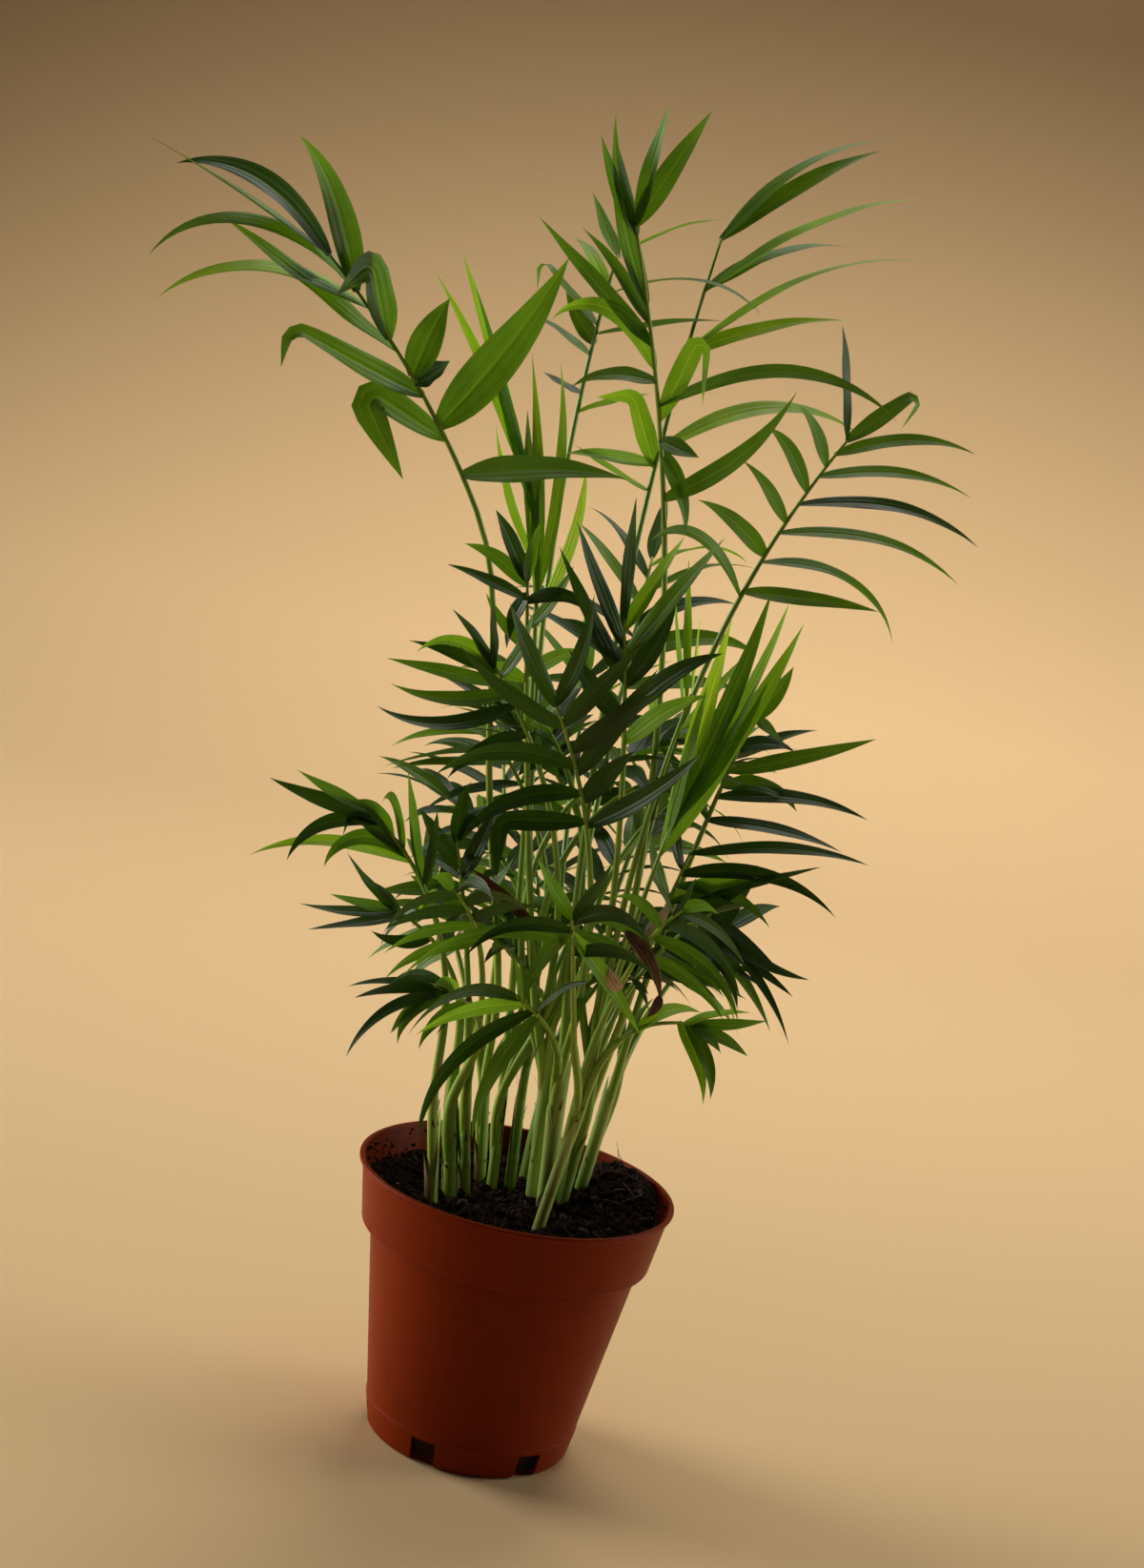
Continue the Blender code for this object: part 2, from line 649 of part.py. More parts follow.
def leaflet_line(frond, base, number, lift):
    """A leaflet's midline as (point, direction, normal) at equal steps, its root sunk past the rib."""
    row = frond.leaflets[number]
    at, turn, length, sag, roll = row[:5]
    fold = row[5] if len(row) > 5 else None
    place = number % 3 - 1
    along, face, right = rib_frame(frond, base, at)
    cup = math.radians(LEAFLET_CUP)
    outwards = right * math.copysign(math.cos(cup), turn) + face * math.sin(cup)
    angle = math.radians(abs(turn))
    heading = along * math.cos(angle) + outwards * math.sin(angle)
    normal = (face - heading * face.dot(heading)).normalized()
    tilt = Quaternion(heading.cross(normal), math.radians(lift + STAGGER * place))
    heading, normal = tilt @ heading, tilt @ normal
    edge = heading.cross(normal)
    edge *= math.copysign(1, edge.z)
    normal = (normal * math.cos(math.radians(roll)) + edge * math.sin(math.radians(roll))).normalized()
    axis = heading.cross(HANG).normalized()

    def bent(t):
        share = t ** SAG_POWER if fold is None else min(1, max(0, (t - fold) / FOLD_LENGTH + 0.5))
        return Quaternion(axis, math.radians(sag * share))

    point = rib_point(frond, base, at) - heading * (ROOT_SINK + ROOT_STAGGER * place)
    line = [(point, heading, normal)]
    for i in range(1, MIDLINE_STEPS + 1):
        point = point + bent((i - 0.5) / MIDLINE_STEPS) @ heading * (length / MIDLINE_STEPS)
        here = bent(i / MIDLINE_STEPS)
        line.append((point, here @ heading, here @ normal))
    return line


def leaflet_width(t):
    """Share of the full width at a share of the length: a narrow root, a long point."""
    root = 1 - (1 - LEAFLET_ROOT) * math.exp(-t / ROOT_REACH)
    return (1 - t ** WIDTH_FULLNESS) ** WIDTH_POINT * root


def leaflet_mesh(line, width, length, sag):
    """A thin keeled blade: three-cornered sections that close to a point."""
    shares = SECTIONS
    if length < SHORT_LENGTH and abs(sag) < SLIGHT_SAG:
        shares = SHORT_SECTIONS
    elif abs(sag) > STRONG_SAG:
        shares = BENT_SECTIONS
    thickness = max(LEAFLET_THICKNESS * length, LEAFLET_LEAST_THICKNESS)
    points, faces = [], []
    for share in shares:
        point, along, normal = line[round(share * MIDLINE_STEPS)]
        across = along.cross(normal) * (0.5 * width * leaflet_width(share))
        points += [point - across, point + across, point - normal * thickness]
    points.append(line[-1][0])
    for ring in range(len(shares) - 1):
        low, high = 3 * ring, 3 * ring + 3
        faces += [(low + k, low + (k + 1) % 3, high + (k + 1) % 3, high + k) for k in range(3)]
    last = 3 * (len(shares) - 1)
    faces += [(last + k, last + (k + 1) % 3, len(points) - 1) for k in range(3)]
    faces.append((2, 1, 0))
    return points, faces


class Space:
    """What is already taken, so that each new piece keeps clear of every other node."""

    def __init__(self):
        self.taken = []

    def tree(self, points, faces):
        low = [min(p[k] for p in points) - GAP for k in range(3)]
        high = [max(p[k] for p in points) + GAP for k in range(3)]
        triangles = [(f[0], f[i], f[i + 1]) for f in faces for i in range(1, len(f) - 1)]
        return BVHTree.FromPolygons(points, triangles, all_triangles=True, epsilon=GAP), low, high

    def free(self, points, faces, owner):
        tree, low, high = self.tree(points, faces)
        for name, other, other_low, other_high in self.taken:
            apart = any(low[k] > other_high[k] or high[k] < other_low[k] for k in range(3))
            if name != owner and not apart and tree.overlap(other):
                return False
        return True

    def take(self, points, faces, owner):
        self.taken.append((owner, *self.tree(points, faces)))


def frond_base(name, frond, space):
    """Where the petiole meets its cane: the first free place, on top of it and then round it."""
    cane = CANES[frond.cane]
    foot, top = cane_ends(cane)
    heading = math.atan2(frond.neck[1] - top.y, frond.neck[0] - top.x)
    places = [top + Vector((0, 0, GAP))]
    for drop in BASE_DROPS:
        reach = cane_radius(cane, 1 - drop) + PETIOLE_RADIUS + GAP + BASE_PLAY
        for stand in STANDS:
            angle = heading + math.radians(stand)
            places.append(top.lerp(foot, drop) + reach * Vector((math.cos(angle), math.sin(angle), 0)))
    for base in places:
        points, faces = rib_mesh(frond, base)
        if space.free(points, faces, name):
            space.take(points, faces, name)
            return base
    raise ValueError(f"no free place on {frond.cane} for {name}")


def make_frond(name, frond, base, space, material):
    """One frond in one piece; a leaflet with no free place near its own is left out."""
    rib = mesh_object(name, *rib_mesh(frond, base), material, base)
    blades = []
    for number, (_, _, length, sag, *_) in enumerate(frond.leaflets):
        for lift in LIFTS:
            line = leaflet_line(frond, base, number, lift)
            points, faces = leaflet_mesh(line, frond.width, length, sag)
            if space.free(points, faces, name):
                space.take(points, faces, name)
                blades.append(mesh_object(f"{name}_leaflet_{number}", points, faces, material))
                break
    combine(rib, blades, "UNION", "MANIFOLD")
    return rib


def make_cane(name, cane, space, material):
    foot, top = cane_ends(cane)
    shares = [i / CANE_STEPS for i in range(CANE_STEPS + 1)]
    centres = [foot.lerp(top, share) for share in shares]
    points, faces = tube_mesh(centres, [cane_radius(cane, share) for share in shares], CANE_SIDES)
    space.take(points, faces, name)
    obj = mesh_object(name, points, faces, material, foot)
    shade_round(obj, 50)
    return obj


def main():
    clear_scene()
    terracotta = make_material("terracotta_plastic", (0.42, 0.10, 0.03), 0.45)
    peat = make_material("peat", (0.035, 0.022, 0.015), 0.95)
    cane_green = make_material("cane_green", (0.30, 0.42, 0.10), 0.5)
    leaf_green = make_material("leaf_green", (0.03, 0.12, 0.02), 0.45)
    spear_green = make_material("spear_green", (0.25, 0.42, 0.05), 0.5)
    space = Space()
    nodes = [make_pot(terracotta), make_soil(peat)]
    nodes += [make_cane(name, cane, space, cane_green) for name, cane in CANES.items()]
    bases = {name: frond_base(name, frond, space) for name, frond in FRONDS.items()}
    for name, frond in FRONDS.items():
        material = spear_green if name in SPEARS else leaf_green
        nodes.append(make_frond(name, frond, bases[name], space, material))
    palm = bpy.data.objects.new("palm", None)
    bpy.context.scene.collection.objects.link(palm)
    for node in nodes:
        node.parent = palm


main()
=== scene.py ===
"""Looks of a parlour palm in its nursery pot: fine leaflets, canes with sheaths, peat and a turned pot.

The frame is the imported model: X right, Y away from the front, Z up. Sizes are in millimetres and angles in
degrees, and points become metres when a mesh is made. A frond follows the rule that its solid was cut by: its
rib is one curve from its cane through its neck to its tip, and a leaflet row says where along the blade it
stands, how far it turns from the rib, its length, how far it sags, how far it is rolled edge-on, and, for a
creased one, where it folds over. A bow pushes the middle of the petiole sideways.
"""

import math
import random
from collections import namedtuple

import bpy
from mathutils import Matrix, Quaternion, Vector, kdtree, noise


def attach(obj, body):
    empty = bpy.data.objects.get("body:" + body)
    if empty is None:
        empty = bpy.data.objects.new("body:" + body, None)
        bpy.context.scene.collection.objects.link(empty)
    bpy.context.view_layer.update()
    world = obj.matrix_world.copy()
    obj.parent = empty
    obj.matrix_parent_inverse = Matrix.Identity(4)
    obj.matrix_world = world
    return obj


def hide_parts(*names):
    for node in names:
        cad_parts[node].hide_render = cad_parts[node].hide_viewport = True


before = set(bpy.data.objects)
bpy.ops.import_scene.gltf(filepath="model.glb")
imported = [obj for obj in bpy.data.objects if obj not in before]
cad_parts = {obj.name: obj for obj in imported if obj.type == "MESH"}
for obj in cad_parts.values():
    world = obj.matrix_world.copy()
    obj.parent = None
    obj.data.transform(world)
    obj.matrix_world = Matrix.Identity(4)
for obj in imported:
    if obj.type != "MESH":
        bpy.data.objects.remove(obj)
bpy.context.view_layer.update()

MM = 0.001
GAP = 0.3
UP = Vector((0, 0, 1))

# Pot
POT_HEIGHT = 105.0
RIM_RADIUS = 60.0
RIM_LIP = 1.6
COLLAR_HEIGHT = 24.6
COLLAR_FOOT_RADIUS = 53.5
BODY_TOP_RADIUS = 52.7
BASE_RADIUS = 39.2
BASE_EDGE = 1.5
EDGE = 0.6
WALL = 1.5
FLOOR = 2.5
INNER_STEP = 1.5
SHOULDER = POT_HEIGHT - COLLAR_HEIGHT
NOTCH_COUNT = 6
NOTCH_WIDTH = 10.0
NOTCH_HEIGHT = 8.0
NOTCH_DEPTH = 8.0
NOTCH_START = -112.0

# Soil
SOIL_LEVEL = 94.0
SOIL_MOUND = 13.0
SOIL_MOUND_CENTRE = (38.0, 24.0)
SOIL_MOUND_SPREAD = 20.0
SOIL_WAVE = 0.8
SOIL_WAVELENGTHS = (30.0, 37.0)

# Canes and ribs
CANE_DEPTH = 9.0
CANE_TAPER = 0.8
PETIOLE_RADIUS = 1.5
NECK_RADIUS = 1.0
RIB_TIP_RADIUS = 0.5
RIB_SIDES = 3
PETIOLE_STEPS = 4
BASE_PLAY = 0.15
BASE_DROPS = (0.06, 0.2, 0.34)
STANDS = (0, 40, -40, 80, -80, 120, -120, 160)

# Leaflets
LEAFLET_CUP = 10.0
MIDLINE_STEPS = 20
HANG = Vector((0.2, 0.0, -1.0)).normalized()
SAG_POWER = 1.5
FOLD_LENGTH = 0.16
LIFTS = (0, 7, -7, 14, -14, 22, -22, 30, -30)
STAGGER = 1.5
ROOT_SINK = 0.5
ROOT_STAGGER = 0.2

# Seeded leaflets
PAIR_OFFSET = 0.2
ROOT_TURN = 75.0
TIP_TURN = 30.0
TURN_SPREAD = 8.0
END_SHORTENING = 0.2
LENGTH_SPREAD = (0.85, 1.1)
SAG_SPREAD = (20, 75)
ROLL_SPREAD = (10, 60)

Cane = namedtuple("Cane", "foot top radius")
Frond = namedtuple("Frond", "cane neck tip face width leaflets bow", defaults=(0,))

CANES = {
    "cane_1": Cane((-30, -16), (-37, -16, 138), 2.0),
    "cane_2": Cane((-24, -5), (-31, -5, 136), 2.5),
    "cane_3": Cane((-19, 1), (-26, 2, 138), 2.2),
    "cane_4": Cane((-14, 21), (-20, 21, 136), 1.8),
    "cane_5": Cane((-9, 14), (-13, 14, 140), 1.8),
    "cane_6": Cane((-2, 16), (-5, 16, 140), 1.8),
    "cane_7": Cane((7, 8), (3, 9, 146), 2.2),
    "cane_8": Cane((12, 0), (8, -2, 150), 2.5),
    "cane_9": Cane((11, -21), (17, -22, 146), 1.8),
    "cane_10": Cane((18, 7), (21, 6, 150), 2.2),
    "cane_11": Cane((24, 15), (29, 16, 146), 2.0),
    "cane_12": Cane((3, 30), (4, 35, 140), 2.0),
    "cane_13": Cane((-15, 33), (-20, 40, 132), 2.0),
}


def seeded_leaflets(seed, pairs, longest):
    """Rows for a frond that hangs half hidden: leaflets in pairs, closing towards the tip."""
    rng = random.Random(seed)
    rows = []
    for pair in range(pairs):
        for side in (-1, 1):
            at = (pair + 0.5 + PAIR_OFFSET * side) / pairs
            closing = ROOT_TURN + at * (TIP_TURN - ROOT_TURN)
            turn = side * (closing + rng.uniform(-TURN_SPREAD, TURN_SPREAD))
            length = longest * (1 - END_SHORTENING * (2 * at - 1) ** 2) * rng.uniform(*LENGTH_SPREAD)
            rows.append((at, turn, length, rng.uniform(*SAG_SPREAD), rng.uniform(*ROLL_SPREAD)))
    rows.append((1.0, rng.uniform(-TURN_SPREAD, TURN_SPREAD), (1 - END_SHORTENING) * longest, 30, 40))
    return rows


FRONDS = {
    "frond_upper_left": Frond("cane_4", (-62, -15, 350), (-127, -35, 428), 15, 12, [
        (0.14, 105, 60, 25, 50), (0.33, 70, 75, -15, 0), (0.50, 88, 15, 0, 60), (0.52, 50, 31, 15, 10),
        (0.67, 22, 46, 112, 35, 0.57), (0.86, 28, 62, 50, 25), (1.00, 8, 65, 75, 50),
        (1.00, -16, 80, 10, 75), (0.83, -3, 88, 103, 76), (0.79, -24, 79, 72, 72), (0.62, -19, 78, 5, 68),
        (0.45, -33, 66, 105, 50, 0.8), (0.28, -30, 64, 150, 45, 0.5),
    ], bow=-15),
    "frond_top_back": Frond("cane_12", (-35, 35, 381), (-32, 60, 449), -20, 8, [
        (1.00, -35, 30, 0, 50), (0.98, 50, 45, 35, 50), (0.77, 70, 70, 65, 60), (0.55, 75, 52, 15, 45),
        (0.80, -30, 36, 60, 50), (0.60, -50, 46, 130, 60, 0.75), (0.43, -55, 36, 35, 60),
        (0.22, -70, 18, 0, 65), (0.50, -40, 24, 0, 25), (0.12, 65, 30, 20, 50),
    ]),
    "frond_top": Frond("cane_10", (3, -10, 365), (-26, -30, 458), -10, 9, [
        (1.00, 24, 44, 8, 50), (1.00, 42, 50, 5, 20), (0.97, -5, 32, -10, 65), (0.97, -16, 36, -15, 65),
        (0.73, -10, 66, -25, 50), (0.66, -20, 42, 20, 60), (0.58, -35, 60, 0, 50), (0.50, -15, 52, 110, 50),
        (0.45, -65, 32, 55, 60), (0.31, 30, 55, 155, 15, 0.6), (0.36, 65, 96, 70, 65),
        (0.02, 65, 66, -35, 15), (0.20, 150, 32, 40, 50), (0.24, 115, 16, 0, 60),
    ]),
    "frond_top_right": Frond("cane_8", (-3, 20, 365), (5, 45, 462), 20, 10, [
        (1.00, 22, 86, 45, 68), (1.00, 32, 76, 22, 55), (0.79, 34, 98, 34, 74), (0.80, 38, 66, 42, 60),
        (0.55, 34, 110, 45, 76), (0.55, 50, 66, 26, 40), (0.17, 42, 96, 80, 62),
        (0.11, -35, 42, 75, 0, 0.65), (0.12, -95, 40, 15, 50), (0.02, -80, 36, -5, 62),
    ]),
    "frond_right": Frond("cane_11", (35, 10, 327), (65, 25, 399), 15, 8, [
        (1.00, -45, 46, 40, 45), (1.00, 15, 46, 160, 35, 0.7), (0.92, 32, 56, 45, 45),
        (0.79, 43, 62, 42, 50), (0.63, 48, 74, 48, 55), (0.47, 52, 74, 50, 55), (0.31, 56, 66, 85, 62),
        (0.15, 65, 52, 10, 40), (0.85, -58, 29, 40, 30), (0.70, -58, 31, 42, 20), (0.53, -65, 32, 28, 25),
        (0.35, -75, 38, 30, 10), (0.12, -55, 60, 90, 50),
    ]),
    "spear_left": Frond("cane_5", (-33, 10, 303), (-45, 12, 375), 0, 9, [
        (0.57, -15, 106, 5, 58), (0.62, -15, 98, 5, 68), (0.68, -20, 94, 12, 55), (0.38, -25, 56, -18, 55),
        (0.18, 0, 95, -8, 25), (0.24, 12, 88, -20, 40), (0.12, 26, 62, -25, 50), (0.32, -7, 64, -5, 50),
    ]),
    "spear_right": Frond("cane_9", (23, -35, 222), (29, -40, 263), 0, 10, [
        (0.74, 5, 96, -8, 0), (0.83, 10, 92, -10, 55), (0.85, 15, 88, -10, 30), (0.81, -5, 80, 0, 35),
        (0.56, -5, 66, 0, 55), (0.56, 15, 76, -12, 50),
    ]),
    "spear_middle": Frond("cane_10", (21, -20, 265), (26, -25, 302), 0, 6, [
        (0.80, -25, 50, 0, 60), (0.87, -20, 56, 5, 30), (1.00, -15, 30, 0, 65), (0.55, 20, 40, 0, 50),
    ]),
    "frond_centre": Frond("cane_8", (0, -45, 247), (-20, -75, 296), 0, 10, [
        (0.83, -35, 52, -20, 0), (0.54, -45, 56, 55, 35), (0.34, -65, 50, 65, 50),
        (0.13, -75, 50, 90, 50, 0.6), (0.85, 50, 45, 0, 25), (0.65, 55, 46, 5, 25), (0.48, 40, 55, 0, 20),
        (0.28, 40, 32, 10, 25), (0.10, 60, 54, -18, 50), (1.00, 40, 45, -30, 50), (1.00, -5, 46, -10, 50),
    ]),
    "frond_middle_right": Frond("cane_10", (7, -30, 274), (-3, -45, 326), 0, 9, [
        (0.80, -20, 50, -5, 55), (0.96, 5, 50, 15, 50), (0.56, -25, 58, -5, 55), (0.67, -35, 32, 35, 60),
        (0.93, 30, 42, 5, 50), (0.74, 35, 60, 5, 50), (0.54, 35, 40, -20, 35), (0.34, 40, 46, 30, 50),
        (0.28, -40, 36, -15, 50), (0.14, 42, 38, 30, 55),
    ]),
    "frond_middle_left": Frond("cane_7", (-31, -15, 285), (-39, -25, 330), 0, 7, [
        (0.90, -145, 22, 40, 40), (1.00, -20, 30, 10, 40), (0.97, -40, 30, 35, 50), (0.86, -60, 32, 12, 60),
        (1.00, 6, 26, 30, 45), (0.84, 60, 28, 90, 50), (0.62, 42, 30, -20, 50), (0.47, -45, 26, -25, 50),
        (0.25, 50, 26, 30, 40), (0.20, -60, 26, 40, 40),
    ]),
    "frond_left": Frond("cane_6", (-23, -20, 266), (-44, -35, 299), 0, 8, [
        (0.72, -70, 44, -35, 55), (0.60, -85, 52, -55, 55), (0.82, -45, 46, 0, 60), (0.95, -32, 36, 15, 30),
        (0.97, -8, 38, 85, 60), (1.00, 0, 30, 15, 60), (1.00, 25, 30, 0, 55), (0.90, 60, 28, -30, 60),
        (0.35, 55, 34, 20, 40), (0.30, -80, 34, 40, 40),
    ]),
    "frond_left_back": Frond("cane_13", (-21, 25, 237), (-43, 30, 265), 0, 7, [
        (1.00, -48, 40, 40, 60), (0.82, -60, 46, 20, 60), (0.64, -56, 46, 20, 62), (0.93, -25, 28, 50, 60),
        (0.80, 50, 36, 30, 40), (0.40, -65, 40, 40, 50), (0.40, 60, 40, 40, 40),
    ]),
    "frond_low_left_up": Frond("cane_1", (-53, -20, 210), (-79, -35, 240), 0, 8, [
        (0.36, -34, 62, 48, 64), (0.42, -12, 40, 115, 60), (0.46, -15, 36, 110, 0, 0.75),
        (0.93, -28, 42, -10, 50), (0.98, -15, 33, -5, 62), (0.83, -30, 42, 85, 52), (0.10, 15, 46, -5, 60),
        (0.48, 25, 50, 85, 55), (0.65, 12, 28, 50, 50), (0.06, 32, 32, -10, 50),
    ]),
    "frond_low_left_mid": Frond("cane_2", (-40, -7, 181), (-64, -22, 203), 0, 6, [
        (0.86, -40, 38, 0, 64), (0.95, -30, 40, -15, 68), (1.00, -18, 28, -10, 60), (1.00, 12, 32, -15, 55),
        (0.90, 18, 22, 15, 55), (0.70, 50, 34, 75, 50), (0.45, -60, 24, -50, 45), (0.30, 50, 26, 30, 40),
    ]),
    "frond_low_left_in": Frond("cane_3", (-37, -5, 195), (-47, -10, 231), 0, 8, [
        (0.94, 10, 30, 50, 40), (0.99, 38, 26, 70, 50), (0.70, -30, 28, -10, 40), (0.50, -85, 32, 5, 50),
        (0.60, 35, 32, -15, 40), (0.30, -55, 24, -5, 50), (0.30, 60, 28, -30, 50),
    ]),
    "frond_right_upper": Frond("cane_11", (41, 5, 246), (52, 5, 297), 0, 8, [
        (0.93, 20, 25, -20, 0), (0.96, 108, 16, 0, 60), (0.71, 45, 22, 60, 50), (0.52, 55, 56, -5, 30),
        (0.41, 55, 32, 75, 50), (0.32, 60, 58, 35, 58), (0.14, 70, 52, 25, 50), (0.75, -35, 30, -20, 50),
        (0.45, -40, 30, -25, 50), (0.15, -45, 36, 30, 50),
    ]),
    "frond_right_mid": Frond("cane_10", (31, -10, 208), (38, -15, 244), 0, 7, [
        (0.98, 55, 66, 30, 60), (0.75, 55, 62, 60, 30), (0.42, 50, 60, 0, 68), (0.80, -40, 30, -35, 50),
        (0.46, 40, 36, 25, 30), (0.14, 40, 42, 0, 30), (0.45, -45, 28, -25, 55), (0.62, 64, 40, 60, 50),
    ]),
    "frond_right_low": Frond("cane_9", (26, -15, 188), (49, -30, 226), 0, 6, [
        (1.00, 65, 32, 5, 55), (0.90, 70, 46, -30, 58), (0.94, 72, 56, 35, 68), (0.86, 80, 48, 25, 62),
        (0.80, 78, 36, 45, 58), (0.50, 65, 44, -45, 60), (0.76, 58, 46, 20, 62), (0.63, 60, 38, 15, 62),
        (0.33, 48, 32, 55, 50), (0.66, -35, 32, 30, 40), (0.30, -50, 32, 40, 40),
    ]),
    "frond_low_right": Frond("cane_9", (25, -30, 172), (50, -50, 190), 0, 9, [
        (0.97, -5, 34, -10, 50), (0.88, -20, 34, 20, 60), (0.85, 52, 32, 55, 58), (0.92, 45, 30, 65, 62),
        (0.98, 22, 16, 30, 60), (1.00, 10, 26, 20, 60), (0.22, -25, 22, 15, 50), (0.32, -15, 36, 50, 45),
    ]),
    "frond_low_front_left": Frond("cane_8", (1, -35, 172), (-14, -60, 190), 0, 10, [
        (0.90, -10, 60, 70, 35), (0.79, -30, 50, 30, 50), (0.48, -105, 54, 40, 55),
        (0.21, -150, 44, -10, 50), (0.60, -60, 68, 75, 58), (0.88, 25, 34, 15, 55), (0.54, 50, 36, 35, 55),
    ]),
    "frond_low_far_left": Frond("cane_2", (-26, -20, 168), (-44, -35, 181), 0, 6, [
        (0.70, 15, 36, 70, 58), (1.00, -5, 36, 25, 66), (0.92, -14, 36, 20, 68), (0.78, -28, 48, 65, 70),
        (0.86, -46, 26, 35, 66), (0.68, -28, 32, 90, 70), (0.50, 20, 24, 65, 58), (0.40, -60, 26, 60, 50),
    ]),
    "frond_low_front": Frond("cane_9", (7, -50, 187), (0, -80, 226), 0, 10, [
        (0.85, -55, 46, 75, 45), (0.90, -140, 40, 40, 35), (0.82, 150, 54, 10, 55), (0.95, 40, 42, 95, 55),
        (0.72, -55, 70, 65, 35), (0.60, 55, 38, 70, 55), (1.00, -20, 36, -5, 55), (1.00, 25, 36, -12, 50),
    ]),
    "frond_back_high": Frond("cane_12", (2, 38, 282), (4, 78, 338), 0, 9, seeded_leaflets(11, 5, 52)),
    "frond_back_left": Frond("cane_13", (-30, 50, 215), (-42, 92, 258), -15, 9, seeded_leaflets(12, 5, 50)),
    "frond_back_right": Frond("cane_12", (18, 55, 222), (26, 100, 262), 15, 9, seeded_leaflets(13, 5, 52)),
    "frond_back_low": Frond("cane_6", (-8, 52, 175), (-12, 95, 200), 0, 8, seeded_leaflets(14, 4, 48)),
    "frond_back_low_left": Frond(
        "cane_13", (-40, 52, 172), (-58, 80, 194), -25, 7, seeded_leaflets(15, 4, 40)
    ),
    "frond_back_low_right": Frond("cane_11", (42, 40, 178), (62, 68, 200), 25, 8, seeded_leaflets(16, 4, 44)),
    "frond_back_middle": Frond("cane_7", (-8, 35, 235), (-12, 72, 290), 0, 9, seeded_leaflets(17, 5, 50)),
    "frond_front_right": Frond("cane_9", (24, -46, 205), (36, -86, 238), 0, 8, seeded_leaflets(18, 4, 44)),
    "frond_front_left": Frond("cane_3", (-30, -42, 200), (-42, -80, 228), 0, 8, seeded_leaflets(19, 4, 42)),
}


# Fine leaflets
FROND_SEED = 5
SHEET_COLUMNS = 16
SHEET_WIDTH = 1.12
SHEET_ROOT = 0.2
SHEET_REACH = 0.17
SHEET_FULLNESS = (1.8, 2.8)
SHEET_POINT = (1.0, 1.3)
KEEL = 0.2
PLEAT = 0.022
RIPPLE = 0.07
TWIST = 16.0
WAVES = (1.0, 2.4)
WIDTH_SPREAD = (0.86, 1.08)
BREADTH = {
    "frond_upper_left": 1.15,
    "frond_low_right": 0.68,
    "frond_low_front": 0.62,
    "frond_low_front_left": 0.62,
    "frond_low_left_up": 0.85,
    "frond_centre": 0.8,
    "frond_left": 0.9,
    "frond_front_right": 0.68,
    "frond_front_left": 0.75,
    "frond_right_low": 0.9,
    "spear_left": 1.2,
    "spear_right": 1.25,
}
BROAD_LEAFLET = ("frond_upper_left", 1)
BROAD_TONE = "mid"
BROAD = 1.3
SPEAR_PLEAT = 0.06
SPEAR_REACH = 0.4
SPEAR_ROOT = 0.08

# Fine ribs, and the clasp round the cane that each petiole grows out of
RIB_ROUND = 10
RIB_NUDGE = 0.01
FINE_STEPS = 14
CLASP_DOWN = 48.0
CLASP_UP = 34.0
CLASP_STEPS = 22
CLASP_SWELL = 1.14
PARTING = (0.2, 1.0)
THINNING = (0.3, 1.0)


def smoothstep(low, high, value):
    share = min(1, max(0, (value - low) / (high - low)))
    return share * share * (3 - 2 * share)


def link(obj):
    """Puts an object into the scene."""
    bpy.context.scene.collection.objects.link(obj)
    return obj


class Batch:
    """Points in millimetres, faces and grain marks of one joined piece, and the nodes that it stands for."""

    def __init__(self):
        self.points = []
        self.faces = []
        self.marks = []
        self.nodes = set()

    def add(self, points, faces, marks=(), node=None):
        start = len(self.points)
        self.points += points
        self.faces += [tuple(start + k for k in face) for face in faces]
        self.marks += marks
        if node:
            self.nodes.add(node)

    def shape(self, name):
        mesh = bpy.data.meshes.new(name)
        mesh.from_pydata([Vector(point) * MM for point in self.points], [], self.faces)
        return link(bpy.data.objects.new(name, mesh))

    def build(self, name, material, slot):
        obj = self.shape(name)
        mesh = obj.data
        if self.marks:
            layer = mesh.uv_layers.new(name="grain")
            corners = [self.marks[loop.vertex_index] for loop in mesh.loops]
            layer.data.foreach_set("uv", [value for mark in corners for value in mark])
        mesh.materials.append(material)
        mesh.shade_smooth()
        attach(obj, "root")
        if self.nodes:
            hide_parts(*sorted(self.nodes))
        return obj


def ring_faces(first, rings, n, closed=True):
    """Faces between rings of n points each, numbered on from first."""
    return [
        (low + k, low + (k + 1) % n, low + n + (k + 1) % n, low + n + k)
        for low in range(first, first + (rings - 1) * n, n)
        for k in range(n if closed else n - 1)
    ]


def fan_faces(points, n, closed=True):
    """Faces from the last ring of n points to the single point that follows it."""
    tip = len(points) - 1
    low = tip - n
    return [(low + k, low + (k + 1) % n, tip) for k in range(n if closed else n - 1)]


def tube(centres, radii, sides):
    """Points and faces of a closed round rod along its centres."""
    points = []
    across = Vector((1, 0, 0))
    for i, centre in enumerate(centres):
        along = (centres[min(i + 1, len(centres) - 1)] - centres[max(i - 1, 0)]).normalized()
        across = (across - along * across.dot(along)).normalized()
        up = along.cross(across)
        for k in range(sides):
            angle = math.tau * k / sides
            points.append(centre + radii[i] * (math.cos(angle) * across + math.sin(angle) * up))
    faces = ring_faces(0, len(centres), sides)
    faces.append(tuple(reversed(range(sides))))
    faces.append(tuple(range(len(points) - sides, len(points))))
    return points, faces


def cane_ends(cane):
    """Where a cane starts, in the peat, and where it ends."""
    foot = Vector((*cane.foot, SOIL_LEVEL))
    top = Vector(cane.top)
    down = (foot - top).normalized()
    return foot + down * CANE_DEPTH, top


def cane_radius(cane, share):
    """Radius of a cane at a share of its length from the foot."""
    return cane.radius * (1 + (CANE_TAPER - 1) * share)


def bulge(s):
    """Share of a petiole's bow at a station: 1 at its middle, 0 at both ends and along the blade."""
    return 4 * max(0, -s) * (1 + s)


